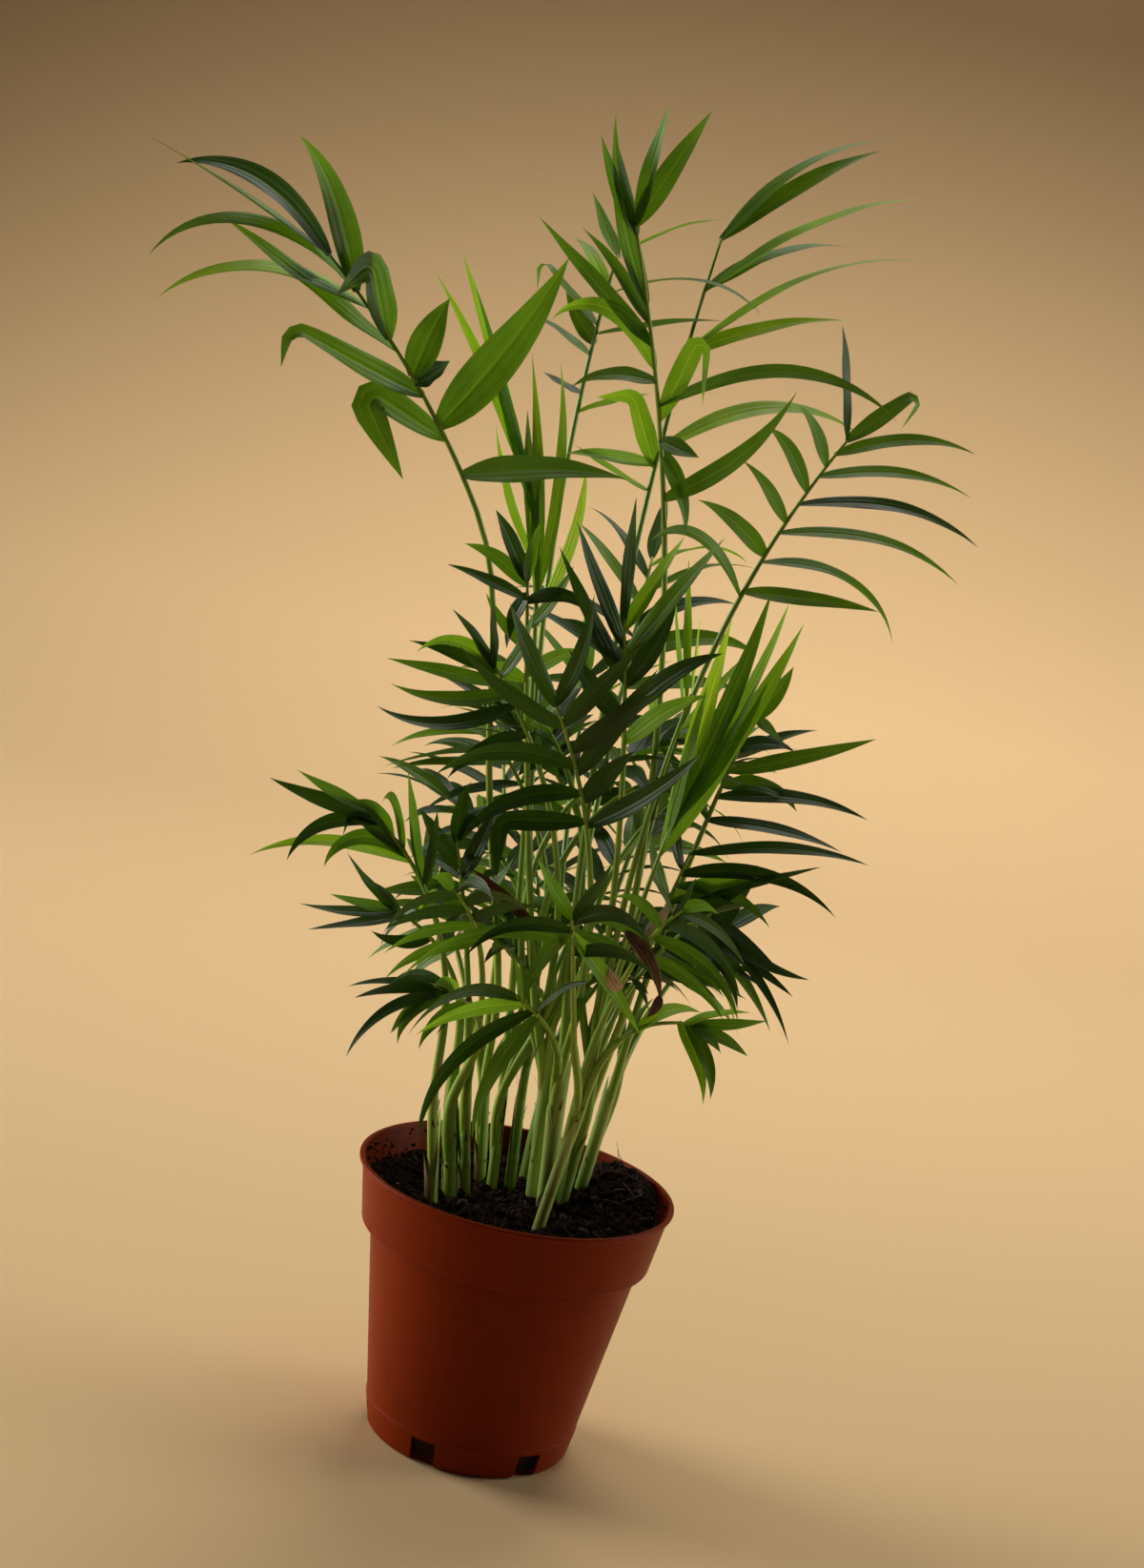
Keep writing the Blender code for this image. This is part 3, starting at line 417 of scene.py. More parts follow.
def rib_point(frond, base, s):
    """Point of the rib: -1 at the cane, 0 at the neck, 1 at the tip, on a parabola with its petiole bowed."""
    neck, tip = Vector(frond.neck), Vector(frond.tip)
    petiole, blade = (neck - base).length, (tip - neck).length
    d = s * petiole if s < 0 else s * blade
    total = petiole + blade
    aside = Vector((bulge(s) * frond.bow, 0, 0))
    return (
        base * (d * (d - blade) / (petiole * total))
        + neck * ((d + petiole) * (blade - d) / (petiole * blade))
        + tip * (d * (d + petiole) / (blade * total))
        + aside
    )


def rib_radius(s):
    if s < 0:
        return NECK_RADIUS - s * (PETIOLE_RADIUS - NECK_RADIUS)
    return NECK_RADIUS + s * (RIB_TIP_RADIUS - NECK_RADIUS)


def rib_frame(frond, base, s):
    """Directions along the rib, out of the blade's face and to its right."""
    along = (rib_point(frond, base, s + RIB_NUDGE) - rib_point(frond, base, s - RIB_NUDGE)).normalized()
    heading = math.radians(frond.face - 90)
    face = Vector((math.cos(heading), math.sin(heading), 0))
    face = (face - along * face.dot(along)).normalized()
    return along, face, along.cross(face)


def leaflet_line(frond, base, number, lift):
    """A leaflet's midline as (point, direction, normal) at equal steps, its root sunk past the rib."""
    at, turn, length, sag, roll, *crease = frond.leaflets[number]
    place = number % 3 - 1
    along, face, right = rib_frame(frond, base, at)
    cup = math.radians(LEAFLET_CUP)
    outwards = right * math.copysign(math.cos(cup), turn) + face * math.sin(cup)
    angle = math.radians(abs(turn))
    heading = along * math.cos(angle) + outwards * math.sin(angle)
    normal = (face - heading * face.dot(heading)).normalized()
    tilt = Quaternion(heading.cross(normal), math.radians(lift + STAGGER * place))
    heading, normal = tilt @ heading, tilt @ normal
    edge = heading.cross(normal)
    edge *= math.copysign(1, edge.z)
    normal = (normal * math.cos(math.radians(roll)) + edge * math.sin(math.radians(roll))).normalized()
    axis = heading.cross(HANG).normalized()

    def bent(t):
        share = t ** SAG_POWER
        if crease:
            share = min(1, max(0, (t - crease[0]) / FOLD_LENGTH + 0.5))
        return Quaternion(axis, math.radians(sag * share))

    point = rib_point(frond, base, at) - heading * (ROOT_SINK + ROOT_STAGGER * place)
    line = [(point, heading, normal)]
    for i in range(1, MIDLINE_STEPS + 1):
        point = point + bent((i - 0.5) / MIDLINE_STEPS) @ heading * (length / MIDLINE_STEPS)
        here = bent(i / MIDLINE_STEPS)
        line.append((point, here @ heading, here @ normal))
    return line


def node_points(name):
    """A search tree over a node's corners, in millimetres."""
    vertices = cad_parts[name].data.vertices
    tree = kdtree.KDTree(len(vertices))
    for i, vertex in enumerate(vertices):
        tree.insert(vertex.co / MM, i)
    tree.balance()
    return tree


def base_places(frond):
    """Where the petiole may meet its cane: on top of it, and then round it."""
    cane = CANES[frond.cane]
    foot, top = cane_ends(cane)
    heading = math.atan2(frond.neck[1] - top.y, frond.neck[0] - top.x)
    places = [top + UP * GAP]
    for drop in BASE_DROPS:
        reach = cane_radius(cane, 1 - drop) + PETIOLE_RADIUS + GAP + BASE_PLAY
        for stand in STANDS:
            angle = heading + math.radians(stand)
            places.append(top.lerp(foot, drop) + reach * Vector((math.cos(angle), math.sin(angle), 0)))
    return places


def frond_base(frond, tree):
    """The place that the solid's petiole starts from, known by the corners of its first ring."""

    def misfit(base):
        centres = [rib_point(frond, base, i / PETIOLE_STEPS - 1) for i in range(2)]
        ring = tube(centres, [rib_radius(-1)] * 2, RIB_SIDES)[0][:RIB_SIDES]
        return sum(tree.find(point)[2] for point in ring)

    return min(base_places(frond), key=misfit)


def leaflet_lift(frond, base, number, tree):
    """The lift that the solid's leaflet has, known by its tip, or None where it has no such leaflet."""

    def misfit(lift):
        return tree.find(leaflet_line(frond, base, number, lift)[-1][0])[2]

    best = min(LIFTS, key=misfit)
    return best if misfit(best) < GAP else None


def leaflet_sheet(line, width, rng, pleat=PLEAT, reach=SHEET_REACH, root_share=SHEET_ROOT):
    """Points, faces and marks of a keeled blade with two pleats along each half, rippled and twisted."""
    twist = math.radians(rng.uniform(-TWIST, TWIST))
    waves = rng.uniform(*WAVES)
    phases = rng.uniform(0, math.tau), rng.uniform(0, math.tau)
    fullness = rng.uniform(*SHEET_FULLNESS)
    point_power = rng.uniform(*SHEET_POINT)
    n = SHEET_COLUMNS + 1
    points, marks = [], []
    for i, (point, along, normal) in enumerate(line[:-1]):
        t = i / MIDLINE_STEPS
        out = Quaternion(along, twist * t) @ normal
        across = along.cross(out)
        root = 1 - (1 - root_share) * math.exp(-t / reach)
        half = 0.5 * width * SHEET_WIDTH * root * (1 - t ** fullness) ** point_power
        for k in range(n):
            u = 2 * k / SHEET_COLUMNS - 1
            keel = KEEL * (abs(u) - 1)
            fold = pleat * (1 - math.cos(4 * math.pi * u)) * (1 - u ** 4)
            ripple = RIPPLE * u * u * math.sin(math.tau * waves * t + phases[u > 0])
            points.append(point + half * (u * across + (keel + fold + ripple) * out))
            marks.append((k / SHEET_COLUMNS, t))
    points.append(line[-1][0])
    marks.append((0.5, 1.0))
    faces = ring_faces(0, MIDLINE_STEPS, n, closed=False) + fan_faces(points, n, closed=False)
    return points, faces, marks


def fine_point(frond, base, s):
    """Point of the fine rib, whose bow dies away smoothly at both ends of the petiole."""
    share = bulge(s)
    return rib_point(frond, base, s) + Vector(((share * share - share) * frond.bow, 0, 0))


def rib_course(frond, base):
    """Centres and radii of a rib: from its clasp round the cane, along the petiole and the blade."""
    cane = CANES[frond.cane]
    foot, top = cane_ends(cane)
    axis = (top - foot).normalized()
    rise = (base - foot).dot(axis)
    beside = foot + axis * rise
    along = rib_frame(frond, base, -1)[0]
    petiole = (Vector(frond.neck) - base).length
    thick = cane_radius(cane, min(1, rise / (top - foot).length)) * CLASP_SWELL
    centres, radii = [], []
    for i in range(CLASP_STEPS):
        t = i / CLASP_STEPS
        d = t * (CLASP_UP + CLASP_DOWN) - CLASP_DOWN
        own = base + along * d if d < 0 else fine_point(frond, base, d / petiole - 1)
        centres.append((beside + axis * d).lerp(own, smoothstep(*PARTING, t)))
        radii.append(thick + (rib_radius(-1) - thick) * smoothstep(*THINNING, t))
    start = CLASP_UP / petiole - 1
    stations = [start * (1 - i / FINE_STEPS) for i in range(FINE_STEPS)]
    stations += [i / FINE_STEPS for i in range(FINE_STEPS + 1)]
    centres += [fine_point(frond, base, s) for s in stations]
    radii += [rib_radius(s) for s in stations]
    return centres, radii


# Inner fronds, which fill the clump behind its front ones
INNER_SEED = 31
INNER_SEEDS = 1000
INNER_COUNT = 14
INNER_HEADINGS = (-15, 195)
INNER_MIDDLE = (-4, 8)
INNER_REACH = (4, 24)
INNER_HEIGHTS = (168, 262)
INNER_SPAN = (24, 36)
INNER_RISE = (12, 38)
INNER_PAIRS = 5
INNER_LENGTHS = (34, 46)
INNER_WIDTHS = (6.5, 8.5)
INNER_DROP = 8.0


def inner_fronds():
    """Seeded fronds with the points that they start from, each on the cane nearest to its neck."""
    rng = random.Random(INNER_SEED)
    found = []
    for _ in range(INNER_COUNT):
        heading = rng.uniform(*INNER_HEADINGS)
        out = Vector((math.cos(math.radians(heading)), math.sin(math.radians(heading)), 0))
        neck = Vector((*INNER_MIDDLE, rng.uniform(*INNER_HEIGHTS))) + out * rng.uniform(*INNER_REACH)
        tip = neck + out * rng.uniform(*INNER_SPAN) + UP * rng.uniform(*INNER_RISE)
        cane = min(CANES, key=lambda name: (Vector(CANES[name].top).xy - neck.xy).length)
        rows = seeded_leaflets(rng.randrange(INNER_SEEDS), INNER_PAIRS, rng.uniform(*INNER_LENGTHS))
        frond = Frond(cane, tuple(neck), tuple(tip), heading - 90, rng.uniform(*INNER_WIDTHS), rows)
        foot, top = cane_ends(CANES[cane])
        found.append((frond, top + (foot - top).normalized() * INNER_DROP))
    return found


# Tones of the leaves: base colour, its darker companion, roughness and share of light let through
TONES = {
    "deep": ((0.024, 0.060, 0.0045), (0.013, 0.036, 0.003), 0.36, 0.22),
    "mid": ((0.072, 0.160, 0.009), (0.042, 0.100, 0.006), 0.38, 0.34),
    "fresh": ((0.150, 0.290, 0.018), (0.095, 0.200, 0.011), 0.42, 0.42),
    "lime": ((0.300, 0.480, 0.032), (0.200, 0.360, 0.022), 0.46, 0.46),
}
DEFAULT_WEIGHTS = (0.45, 0.45, 0.10, 0.0)
WEIGHTS = {
    "frond_upper_left": (0.10, 0.80, 0.10, 0.0),
    "frond_top_back": (0.10, 0.65, 0.25, 0.0),
    "frond_top_right": (0.0, 0.60, 0.40, 0.0),
    "frond_top": (0.15, 0.70, 0.15, 0.0),
    "frond_right": (0.20, 0.70, 0.10, 0.0),
    # The centre frond is dealt mostly the deep tone: partly its own dark green, partly painted shade for the
    # shaded middle of the clump.
    "frond_centre": (0.90, 0.10, 0.0, 0.0),
    "frond_low_right": (0.0, 0.25, 0.75, 0.0),
    "spear_left": (0.0, 0.0, 0.6, 0.4),
    "spear_right": (0.0, 0.15, 0.60, 0.25),
    "spear_middle": (0.0, 0.0, 0.6, 0.4),
}
# Inner fronds are dealt mostly the deep tone: partly their own dark green, partly painted shade for the
# shaded heart of the clump.
INNER_WEIGHTS = (0.7, 0.28, 0.02, 0.0)
LEAF_SHINE = 0.28
BLOTCHES = 45
BLOTCH_BLEND = (0.35, 0.68)
VEINS = 3.8
VEIN_WOBBLE = 0.4
VEIN_LIGHT = (1.5, 1.35, 1.6)
VEIN_START = 0.45
VEIN_SHARE = 0.35
VEIN_BUMP = (0.2, 0.0002)
MIDRIB_HALF = 0.045
TIP_START = 0.66
TIP_LIGHT = 0.7
GLOSS = 90
GLOSS_PLAY = (-0.06, 0.12)
THROUGH_GAIN = (2.0, 2.0, 0.9)

# Patterns: how fine their noise goes, where it blends two colours, and how it is drawn out along each axis
PATTERN_DETAIL = 4
BUMP_DETAIL = 3
BLEND = (0.35, 0.65)
EVEN = (1, 1, 1)
RIB_STREAKS = (1, 1, 0.12)
CANE_STREAKS = (1, 1, 0.07)
BLACK = (0, 0, 0)
WHITE = (1, 1, 1)

# Other surfaces: two colours, the scale of their pattern, roughness, the bump's strength and its depth in
# metres, how much finer the bump is, how the pattern is drawn out, and the strength of reflections
SKIN_FIELDS = "first second scale roughness strength depth grain stretch shine"
Skin = namedtuple("Skin", SKIN_FIELDS, defaults=(4, EVEN, 0.5))
SKINS = {
    "petiole_green": Skin((0.31, 0.47, 0.050), (0.17, 0.31, 0.028), 110, 0.36, 0.3, 0.0003, 5, RIB_STREAKS),
    "spear_green": Skin((0.27, 0.44, 0.05), (0.18, 0.33, 0.03), 110, 0.4, 0.3, 0.0003, 5, RIB_STREAKS),
    "withered_red": Skin((0.170, 0.040, 0.020), (0.085, 0.022, 0.012), 140, 0.75, 0.6, 0.0005, 5),
    "withered_brown": Skin((0.300, 0.170, 0.095), (0.090, 0.045, 0.028), 140, 0.75, 0.6, 0.0005, 5),
    "withered_papery": Skin((0.85, 0.70, 0.48), (0.55, 0.42, 0.26), 140, 0.75, 0.6, 0.0005, 5),
    "cane_green": Skin((0.40, 0.55, 0.100), (0.19, 0.34, 0.04), 90, 0.36, 0.3, 0.0003, 6, CANE_STREAKS),
    "sheath_green": Skin((0.46, 0.60, 0.15), (0.18, 0.32, 0.04), 150, 0.4, 0.4, 0.0004, 4, CANE_STREAKS),
    "sheath_torn": Skin((0.08, 0.035, 0.018), (0.17, 0.10, 0.04), 90, 0.7, 0.5, 0.0004, 6),
    "foot_scale": Skin((0.24, 0.17, 0.06), (0.12, 0.055, 0.02), 70, 0.55, 0.5, 0.0004, 6, (1, 1, 0.1)),
    "peat": Skin((0.034, 0.0145, 0.0070), (0.010, 0.005, 0.003), 90, 1.0, 0.9, 0.0008, 8, EVEN, 0.15),
    "root_fibre": Skin((0.30, 0.20, 0.13), (0.09, 0.05, 0.03), 60, 0.8, 0.3, 0.0003),
    "bark_chip": Skin((0.060, 0.024, 0.012), (0.030, 0.013, 0.008), 120, 0.85, 0.6, 0.0005),
    "perlite_grit": Skin((0.50, 0.45, 0.38), (0.35, 0.30, 0.24), 120, 0.8, 0.4, 0.0004),
}


class Look:
    """A material and its nodes. Each input is given as a constant or as the output that feeds it."""

    def __init__(self, name, shine=0.5):
        self.material = bpy.data.materials.new(name)
        self.material.use_nodes = True
        self.nodes = self.material.node_tree.nodes
        self.shader = self.nodes["Principled BSDF"]
        self.feed(self.shader, {"Specular IOR Level": shine})

    def feed(self, node, inputs):
        """Sets a node's inputs, and gives its outputs."""
        for name, value in inputs.items():
            if isinstance(value, bpy.types.NodeSocket):
                self.material.node_tree.links.new(value, node.inputs[name])
            else:
                node.inputs[name].default_value = value
        return node.outputs

    def add(self, kind, inputs=None):
        return self.feed(self.nodes.new("ShaderNode" + kind), inputs or {})

    def noise(self, scale, detail, stretch=EVEN):
        """Noise over the object's own coordinates, drawn out along an axis where its stretch is under 1."""
        place = self.add("Mapping", {"Vector": self.add("TexCoord")["Object"], "Scale": stretch})
        return self.add("TexNoise", {"Vector": place["Vector"], "Scale": scale, "Detail": detail})["Fac"]

    def ramp(self, factor, *stops):
        """A colour ramp over a factor, its stops as (place, colour)."""
        node = self.nodes.new("ShaderNodeValToRGB")
        elements = node.color_ramp.elements
        while len(elements) < len(stops):
            elements.new(0.5)
        for element, (position, colour) in zip(elements, stops):
            element.position = position
            element.color = (*colour, 1)
        return self.feed(node, {"Fac": factor})["Color"]

    def mix(self, kind, factor, first, second):
        node = self.nodes.new("ShaderNodeMix")
        node.data_type = "RGBA"
        node.blend_type = kind
        return self.feed(node, {"Factor": factor, "A": first, "B": second})["Result"]

    def between(self, value, low, high):
        """A value of 0 to 1 carried over to low to high."""
        return self.add("MapRange", {"Value": value, "To Min": low, "To Max": high})["Result"]

    def bump(self, height, strength, depth):
        """The normal of a bump, its depth in metres."""
        return self.add("Bump", {"Height": height, "Strength": strength, "Distance": depth})["Normal"]

    def let_through(self, share, colour):
        """Mixes in light that comes through from behind."""
        glow = self.add("BsdfTranslucent", {"Color": colour})["BSDF"]
        mixed = self.add("MixShader", {"Fac": share, 1: self.shader.outputs["BSDF"], 2: glow})
        self.feed(self.nodes["Material Output"], {"Surface": mixed["Shader"]})


def surface(name):
    """A dielectric surface: two close colours mixed by noise, and a fine bump."""
    skin = SKINS[name]
    look = Look(name, skin.shine)
    drift = look.noise(skin.scale, PATTERN_DETAIL, skin.stretch)
    fine = look.noise(skin.scale * skin.grain, BUMP_DETAIL, skin.stretch)
    look.feed(look.shader, {
        "Base Color": look.ramp(drift, *zip(BLEND, (skin.first, skin.second))),
        "Roughness": skin.roughness,
        "Normal": look.bump(fine, skin.strength, skin.depth),
    })
    return look.material


def leaf_surface(name, light, dark, roughness, through):
    """A leaf's skin: blotches of two greens, paler lines along veins and midrib, and a soft gloss."""
    look = Look(name, LEAF_SHINE)
    green = look.ramp(look.noise(BLOTCHES, PATTERN_DETAIL), *zip(BLOTCH_BLEND, (light, dark)))
    grain = look.nodes.new("ShaderNodeUVMap")
    grain.uv_map = "grain"
    marks = grain.outputs["UV"]
    veins = look.add("TexWave", {"Vector": marks, "Scale": VEINS, "Distortion": VEIN_WOBBLE})["Fac"]
    place = look.add("SeparateXYZ", {"Vector": marks})
    vein = look.ramp(veins, (VEIN_START, BLACK), (1.0, (VEIN_SHARE,) * 3))
    edges = 0.5 - MIDRIB_HALF, 0.5 + MIDRIB_HALF
    midrib = look.ramp(place["X"], (0.0, BLACK), (edges[0], BLACK), (0.5, WHITE), (edges[1], BLACK))
    tips = look.ramp(place["Y"], (TIP_START, BLACK), (1.0, (TIP_LIGHT,) * 3))
    lines = look.mix("LIGHTEN", 1.0, look.mix("LIGHTEN", 1.0, vein, midrib), tips)
    paler = [min(1, c * gain) for c, gain in zip(light, VEIN_LIGHT)]
    colour = look.mix("MIX", lines, green, (*paler, 1))
    gloss = look.between(look.noise(GLOSS, BUMP_DETAIL), *[roughness + play for play in GLOSS_PLAY])
    normal = look.bump(veins, *VEIN_BUMP)
    look.feed(look.shader, {"Base Color": colour, "Roughness": gloss, "Normal": normal})
    half = look.mix("MULTIPLY", 1.0, colour, (*[gain / 2 for gain in THROUGH_GAIN], 1))
    look.let_through(through, look.mix("ADD", 1.0, half, half))
    return look.material


def make_fronds():
    """Leaflets joined by tone, and the ribs with their petioles."""
    rng = random.Random(FROND_SEED)
    tones = {tone: Batch() for tone in TONES}
    ribs, young = Batch(), Batch()
    for name, frond in FRONDS.items():
        spear = name.startswith("spear")
        form = (SPEAR_PLEAT, SPEAR_REACH, SPEAR_ROOT) if spear else (PLEAT, SHEET_REACH, SHEET_ROOT)
        tree = node_points(name)
        base = frond_base(frond, tree)
        (young if spear else ribs).add(*tube(*rib_course(frond, base), RIB_ROUND), node=name)
        for number in range(len(frond.leaflets)):
            tone = rng.choices(list(TONES), WEIGHTS.get(name, DEFAULT_WEIGHTS))[0]
            width = frond.width * BREADTH.get(name, 1) * rng.uniform(*WIDTH_SPREAD)
            if (name, number) == BROAD_LEAFLET:
                tone, width = BROAD_TONE, width * BROAD
            lift = leaflet_lift(frond, base, number, tree)
            if lift is None:
                continue
            line = leaflet_line(frond, base, number, lift)
            tones[tone].add(*leaflet_sheet(line, width, rng, *form), name)
    for frond, base in inner_fronds():
        ribs.add(*tube(*rib_course(frond, base), RIB_ROUND))
        for number in range(len(frond.leaflets)):
            tone = rng.choices(list(TONES), INNER_WEIGHTS)[0]
            width = frond.width * rng.uniform(*WIDTH_SPREAD)
            tones[tone].add(*leaflet_sheet(leaflet_line(frond, base, number, 0), width, rng))
    for tone, batch in tones.items():
        batch.build(f"leaflets_{tone}", leaf_surface(f"leaf_{tone}", *TONES[tone]), "frond")
    ribs.build("ribs", surface("petiole_green"), "frond")
    young.build("spear_ribs", surface("spear_green"), "spear")
    make_withered(rng)


# Withered bits: kind, root, middle, tip, width and how deep they are folded
WITHERED = [
    ("red", (-11, -50, 212), (-25, -54, 224), (-38, -52, 230), 4.6, 0.10),
    ("brown", (19, -62, 221), (33, -66, 214), (36, -62, 198), 6.5, 0.22),
    ("brown", (35, -62, 201), (36, -64, 197), (32, -62, 192), 4.0, 0.20),
    ("papery", (21, -60, 199), (18, -64, 203), (14, -62, 209), 6.0, 0.15),
    ("papery", (27, -56, 218), (29, -58, 225), (33, -56, 233), 5.0, 0.12),
    ("brown", (-30, -22, 176), (-36, -26, 170), (-40, -25, 160), 2.2, 0.15),
]


def make_withered(rng):
    """A few dead leaflets and papery scraps caught in the clump."""
    batches = {kind: Batch() for kind, *_ in WITHERED}
    for kind, *corners, width, folding in WITHERED:
        root, middle, tip = map(Vector, corners)
        line = []
        for i in range(MIDLINE_STEPS + 1):
            t = i / MIDLINE_STEPS
            along = ((middle - root) * (1 - t) + (tip - middle) * t).normalized()
            normal = (Vector((0, -1, 0)) + along * along.y).normalized()
            line.append((root.lerp(middle, t).lerp(middle.lerp(tip, t), t), along, normal))
        batches[kind].add(*leaflet_sheet(line, width, rng, folding))
    for kind, batch in batches.items():
        batch.build(f"withered_{kind}", surface(f"withered_{kind}"), "frond")


# Fine canes with their rings, and the sheaths and dry husks that start a little under the peat
CANE_SEED = 8
CANE_ROUND = 18
CANE_FINE_STEPS = 60
CANE_COVER = 1.05
RING_PLACES = ((0.3, 0.45), (0.55, 0.75))
RING_SWELL = 0.10
RING_WIDTH = 1.6
RING_STEP = 0.05
RING_STEP_LENGTH = 1.5
FOOT_SWELL = 0.2
FOOT_REACH = 10.0
FLAKES = 4
SCALE_SUNK = 6.0
HUSK_SHARE = 0.6
HUSK_SIZE = 1.35
HUSK_HEIGHTS = (14, 26)
HUSK_ANGLE = 190
WRAPS = {"cane_7": 3, "cane_8": 4, "cane_9": 2, "cane_10": 4, "cane_11": 3}
WRAP_SIZES = (1.2, 1.3)
WRAP_HEIGHTS = (38, 76)
WRAP_ANGLE = 210
WRAP_FLAKE = 1.2


def make_canes():
    """Each cane with its foot and rings, its sheaths and their torn edges, and dry husks at its foot."""
    rng = random.Random(CANE_SEED)
    canes, flakes, husks, wraps = Batch(), Batch(), Batch(), Batch()
    for name, cane in CANES.items():
        foot, top = cane_ends(cane)
        length = (top - foot).length
        axis = (top - foot).normalized()
        rings = [rng.uniform(*places) * length for places in RING_PLACES]
        centres, radii = [], []
        for i in range(CANE_FINE_STEPS + 1):
            share = i / CANE_FINE_STEPS
            at = share * length
            swell = sum(RING_SWELL * math.exp(-(((at - ring) / RING_WIDTH) ** 2)) for ring in rings)
            swell += FOOT_SWELL * math.exp(-max(0, at - CANE_DEPTH) / FOOT_REACH)
            step = sum(RING_STEP * smoothstep(0, RING_STEP_LENGTH, at - ring) for ring in rings)
            radii.append(cane_radius(cane, share) * (CANE_COVER + swell - step))
            centres.append(foot + axis * at)
        canes.add(*tube(centres, radii, CANE_ROUND), node=name)
        for ring in rings:
            for _ in range(rng.randrange(1, FLAKES)):
                add_flake(flakes, foot + axis * ring, axis, cane_radius(cane, ring / length), rng)
        start = foot + axis * (CANE_DEPTH - SCALE_SUNK)
        if rng.random() < HUSK_SHARE:
            size = cane.radius * HUSK_SIZE
            add_scale(husks, start, axis, size, rng.uniform(*HUSK_HEIGHTS), HUSK_ANGLE, rng)
        for _ in range(WRAPS.get(name, 1)):
            height = rng.uniform(*WRAP_HEIGHTS)
            add_scale(wraps, start, axis, cane.radius * rng.uniform(*WRAP_SIZES), height, WRAP_ANGLE, rng)
            add_flake(flakes, start + axis * height, axis, cane.radius * WRAP_FLAKE, rng)
    canes.build("canes", surface("cane_green"), "cane")
    flakes.build("sheath_flakes", surface("sheath_torn"), "cane")
    husks.build("foot_scales", surface("foot_scale"), "cane")
    wraps.build("sheaths", surface("sheath_green"), "cane")


# Torn flakes: sizes in millimetres, and curl and lean as shares of the height
FLAKE_HEIGHTS = (2, 5.5)
FLAKE_WIDTHS = (0.3, 0.9)
FLAKE_CURLS = (0.05, 0.5)
FLAKE_LEANS = (-0.25, 0.25)
FLAKE_STEPS = 6
FLAKE_BELOW = 0.3
FLAKE_STAND = 1.14
FLAKE_POINT = 0.7
FLAKE_TIP = 0.04


def add_flake(batch, centre, axis, radius, rng):
    """A torn papery sliver that curls off a cane."""
    out = Quaternion(axis, rng.uniform(0, math.tau)) @ axis.orthogonal().normalized()
    side = axis.cross(out)
    height = rng.uniform(*FLAKE_HEIGHTS)
    width = rng.uniform(*FLAKE_WIDTHS)
    curl = rng.uniform(*FLAKE_CURLS)
    lean = rng.uniform(*FLAKE_LEANS)
    points = []
    for i in range(FLAKE_STEPS + 1):
        t = i / FLAKE_STEPS
        rise = height * (t - FLAKE_BELOW)
        stand = radius * FLAKE_STAND + curl * height * t * t
        middle = centre + axis * rise + out * stand + side * (lean * height * t)
        half = width * (1 - t) ** FLAKE_POINT + FLAKE_TIP
        points += [middle - side * half, middle + side * half]
    batch.add(points, ring_faces(0, FLAKE_STEPS + 1, 2, closed=False))


# Wrapping scales
SCALE_STEPS = 14
SCALE_SIDES = 11
SCALE_STAND = 0.8
SCALE_CLOSING = 0.06
SCALE_POINT = 2.4
SCALE_TIP = 0.06


def add_scale(batch, centre, axis, radius, height, wrap, rng):
    """A pointed scale that wraps a cane and stands a little off it at its tip."""
    start = rng.uniform(0, math.tau)
    across = axis.orthogonal().normalized()
    up = axis.cross(across)
    points = []
    for i in range(SCALE_STEPS + 1):
        t = i / SCALE_STEPS
        spread = math.radians(wrap) * (1 - t ** SCALE_POINT) + SCALE_TIP
        out = radius * (1 - SCALE_CLOSING * t) + SCALE_STAND * t ** 3
        for k in range(SCALE_SIDES):
            angle = start + spread * (k / (SCALE_SIDES - 1) - 0.5)
            side = math.cos(angle) * across + math.sin(angle) * up
            points.append(centre + axis * (height * t) + side * out)
    batch.add(points, ring_faces(0, SCALE_STEPS + 1, SCALE_SIDES, closed=False))


# Turned pot
POT_ROUND = 144
CORNER_STEPS = 4
CORNER_SHARE = 0.45
FOOT_FLAT = 4.0
STEP_RING_HEIGHT = 12.0
STEP_RING_RISE = 0.8
STEP_RING = 0.4
UNDERCUT = 1.3
UNDERCUT_DEPTH = 3.5
OVERHANG = 1.8
LIP = 0.5
MOUTH_DEPTH = 2.4
NOTCH_RISE = 1.3
SHARP_ANGLE = 40
POT_REDS = ((0.3, (0.215, 0.0215, 0.0009)), (0.7, (0.190, 0.0180, 0.0007)))
POT_DUST = ((0.58, WHITE), (0.80, (0.74, 0.80, 0.90)))
POT_SHINE = 0.08
POT_GLOSS = (0.36, 0.56)
POT_FLOW = (26, 3, (1, 1, 0.15))
POT_SMEARS = (60, 6)
POT_GRAIN = (900, 2)
POT_BUMP = (0.12, 0.0002)


def inner_radius(height):
    """Radius of the pot's inner wall at a height."""
    if height > SHOULDER:
        share = (height - SHOULDER) / COLLAR_HEIGHT
        return COLLAR_FOOT_RADIUS + share * (RIM_RADIUS - COLLAR_FOOT_RADIUS) - WALL
    return outer_radius(height) - WALL


def outer_radius(height):
    """Radius of the pot's body under the collar at a height."""
    return BASE_RADIUS + height / SHOULDER * (BODY_TOP_RADIUS - BASE_RADIUS)


def rounded(profile):
    """The points of a profile of (radius, height, corner size), each corner drawn as a curve."""
    points = []
    for i, (r, h, size) in enumerate(profile):
        here = Vector((r, h))
        if not size or i in (0, len(profile) - 1):
            points.append(here)
            continue
        before = Vector(profile[i - 1][:2]) - here
        after = Vector(profile[i + 1][:2]) - here
        start = here + before.normalized() * min(size, CORNER_SHARE * before.length)
        end = here + after.normalized() * min(size, CORNER_SHARE * after.length)
        for k in range(CORNER_STEPS + 1):
            t = k / CORNER_STEPS
            points.append(start * (1 - t) ** 2 + here * (2 * t * (1 - t)) + end * t ** 2)
    return points


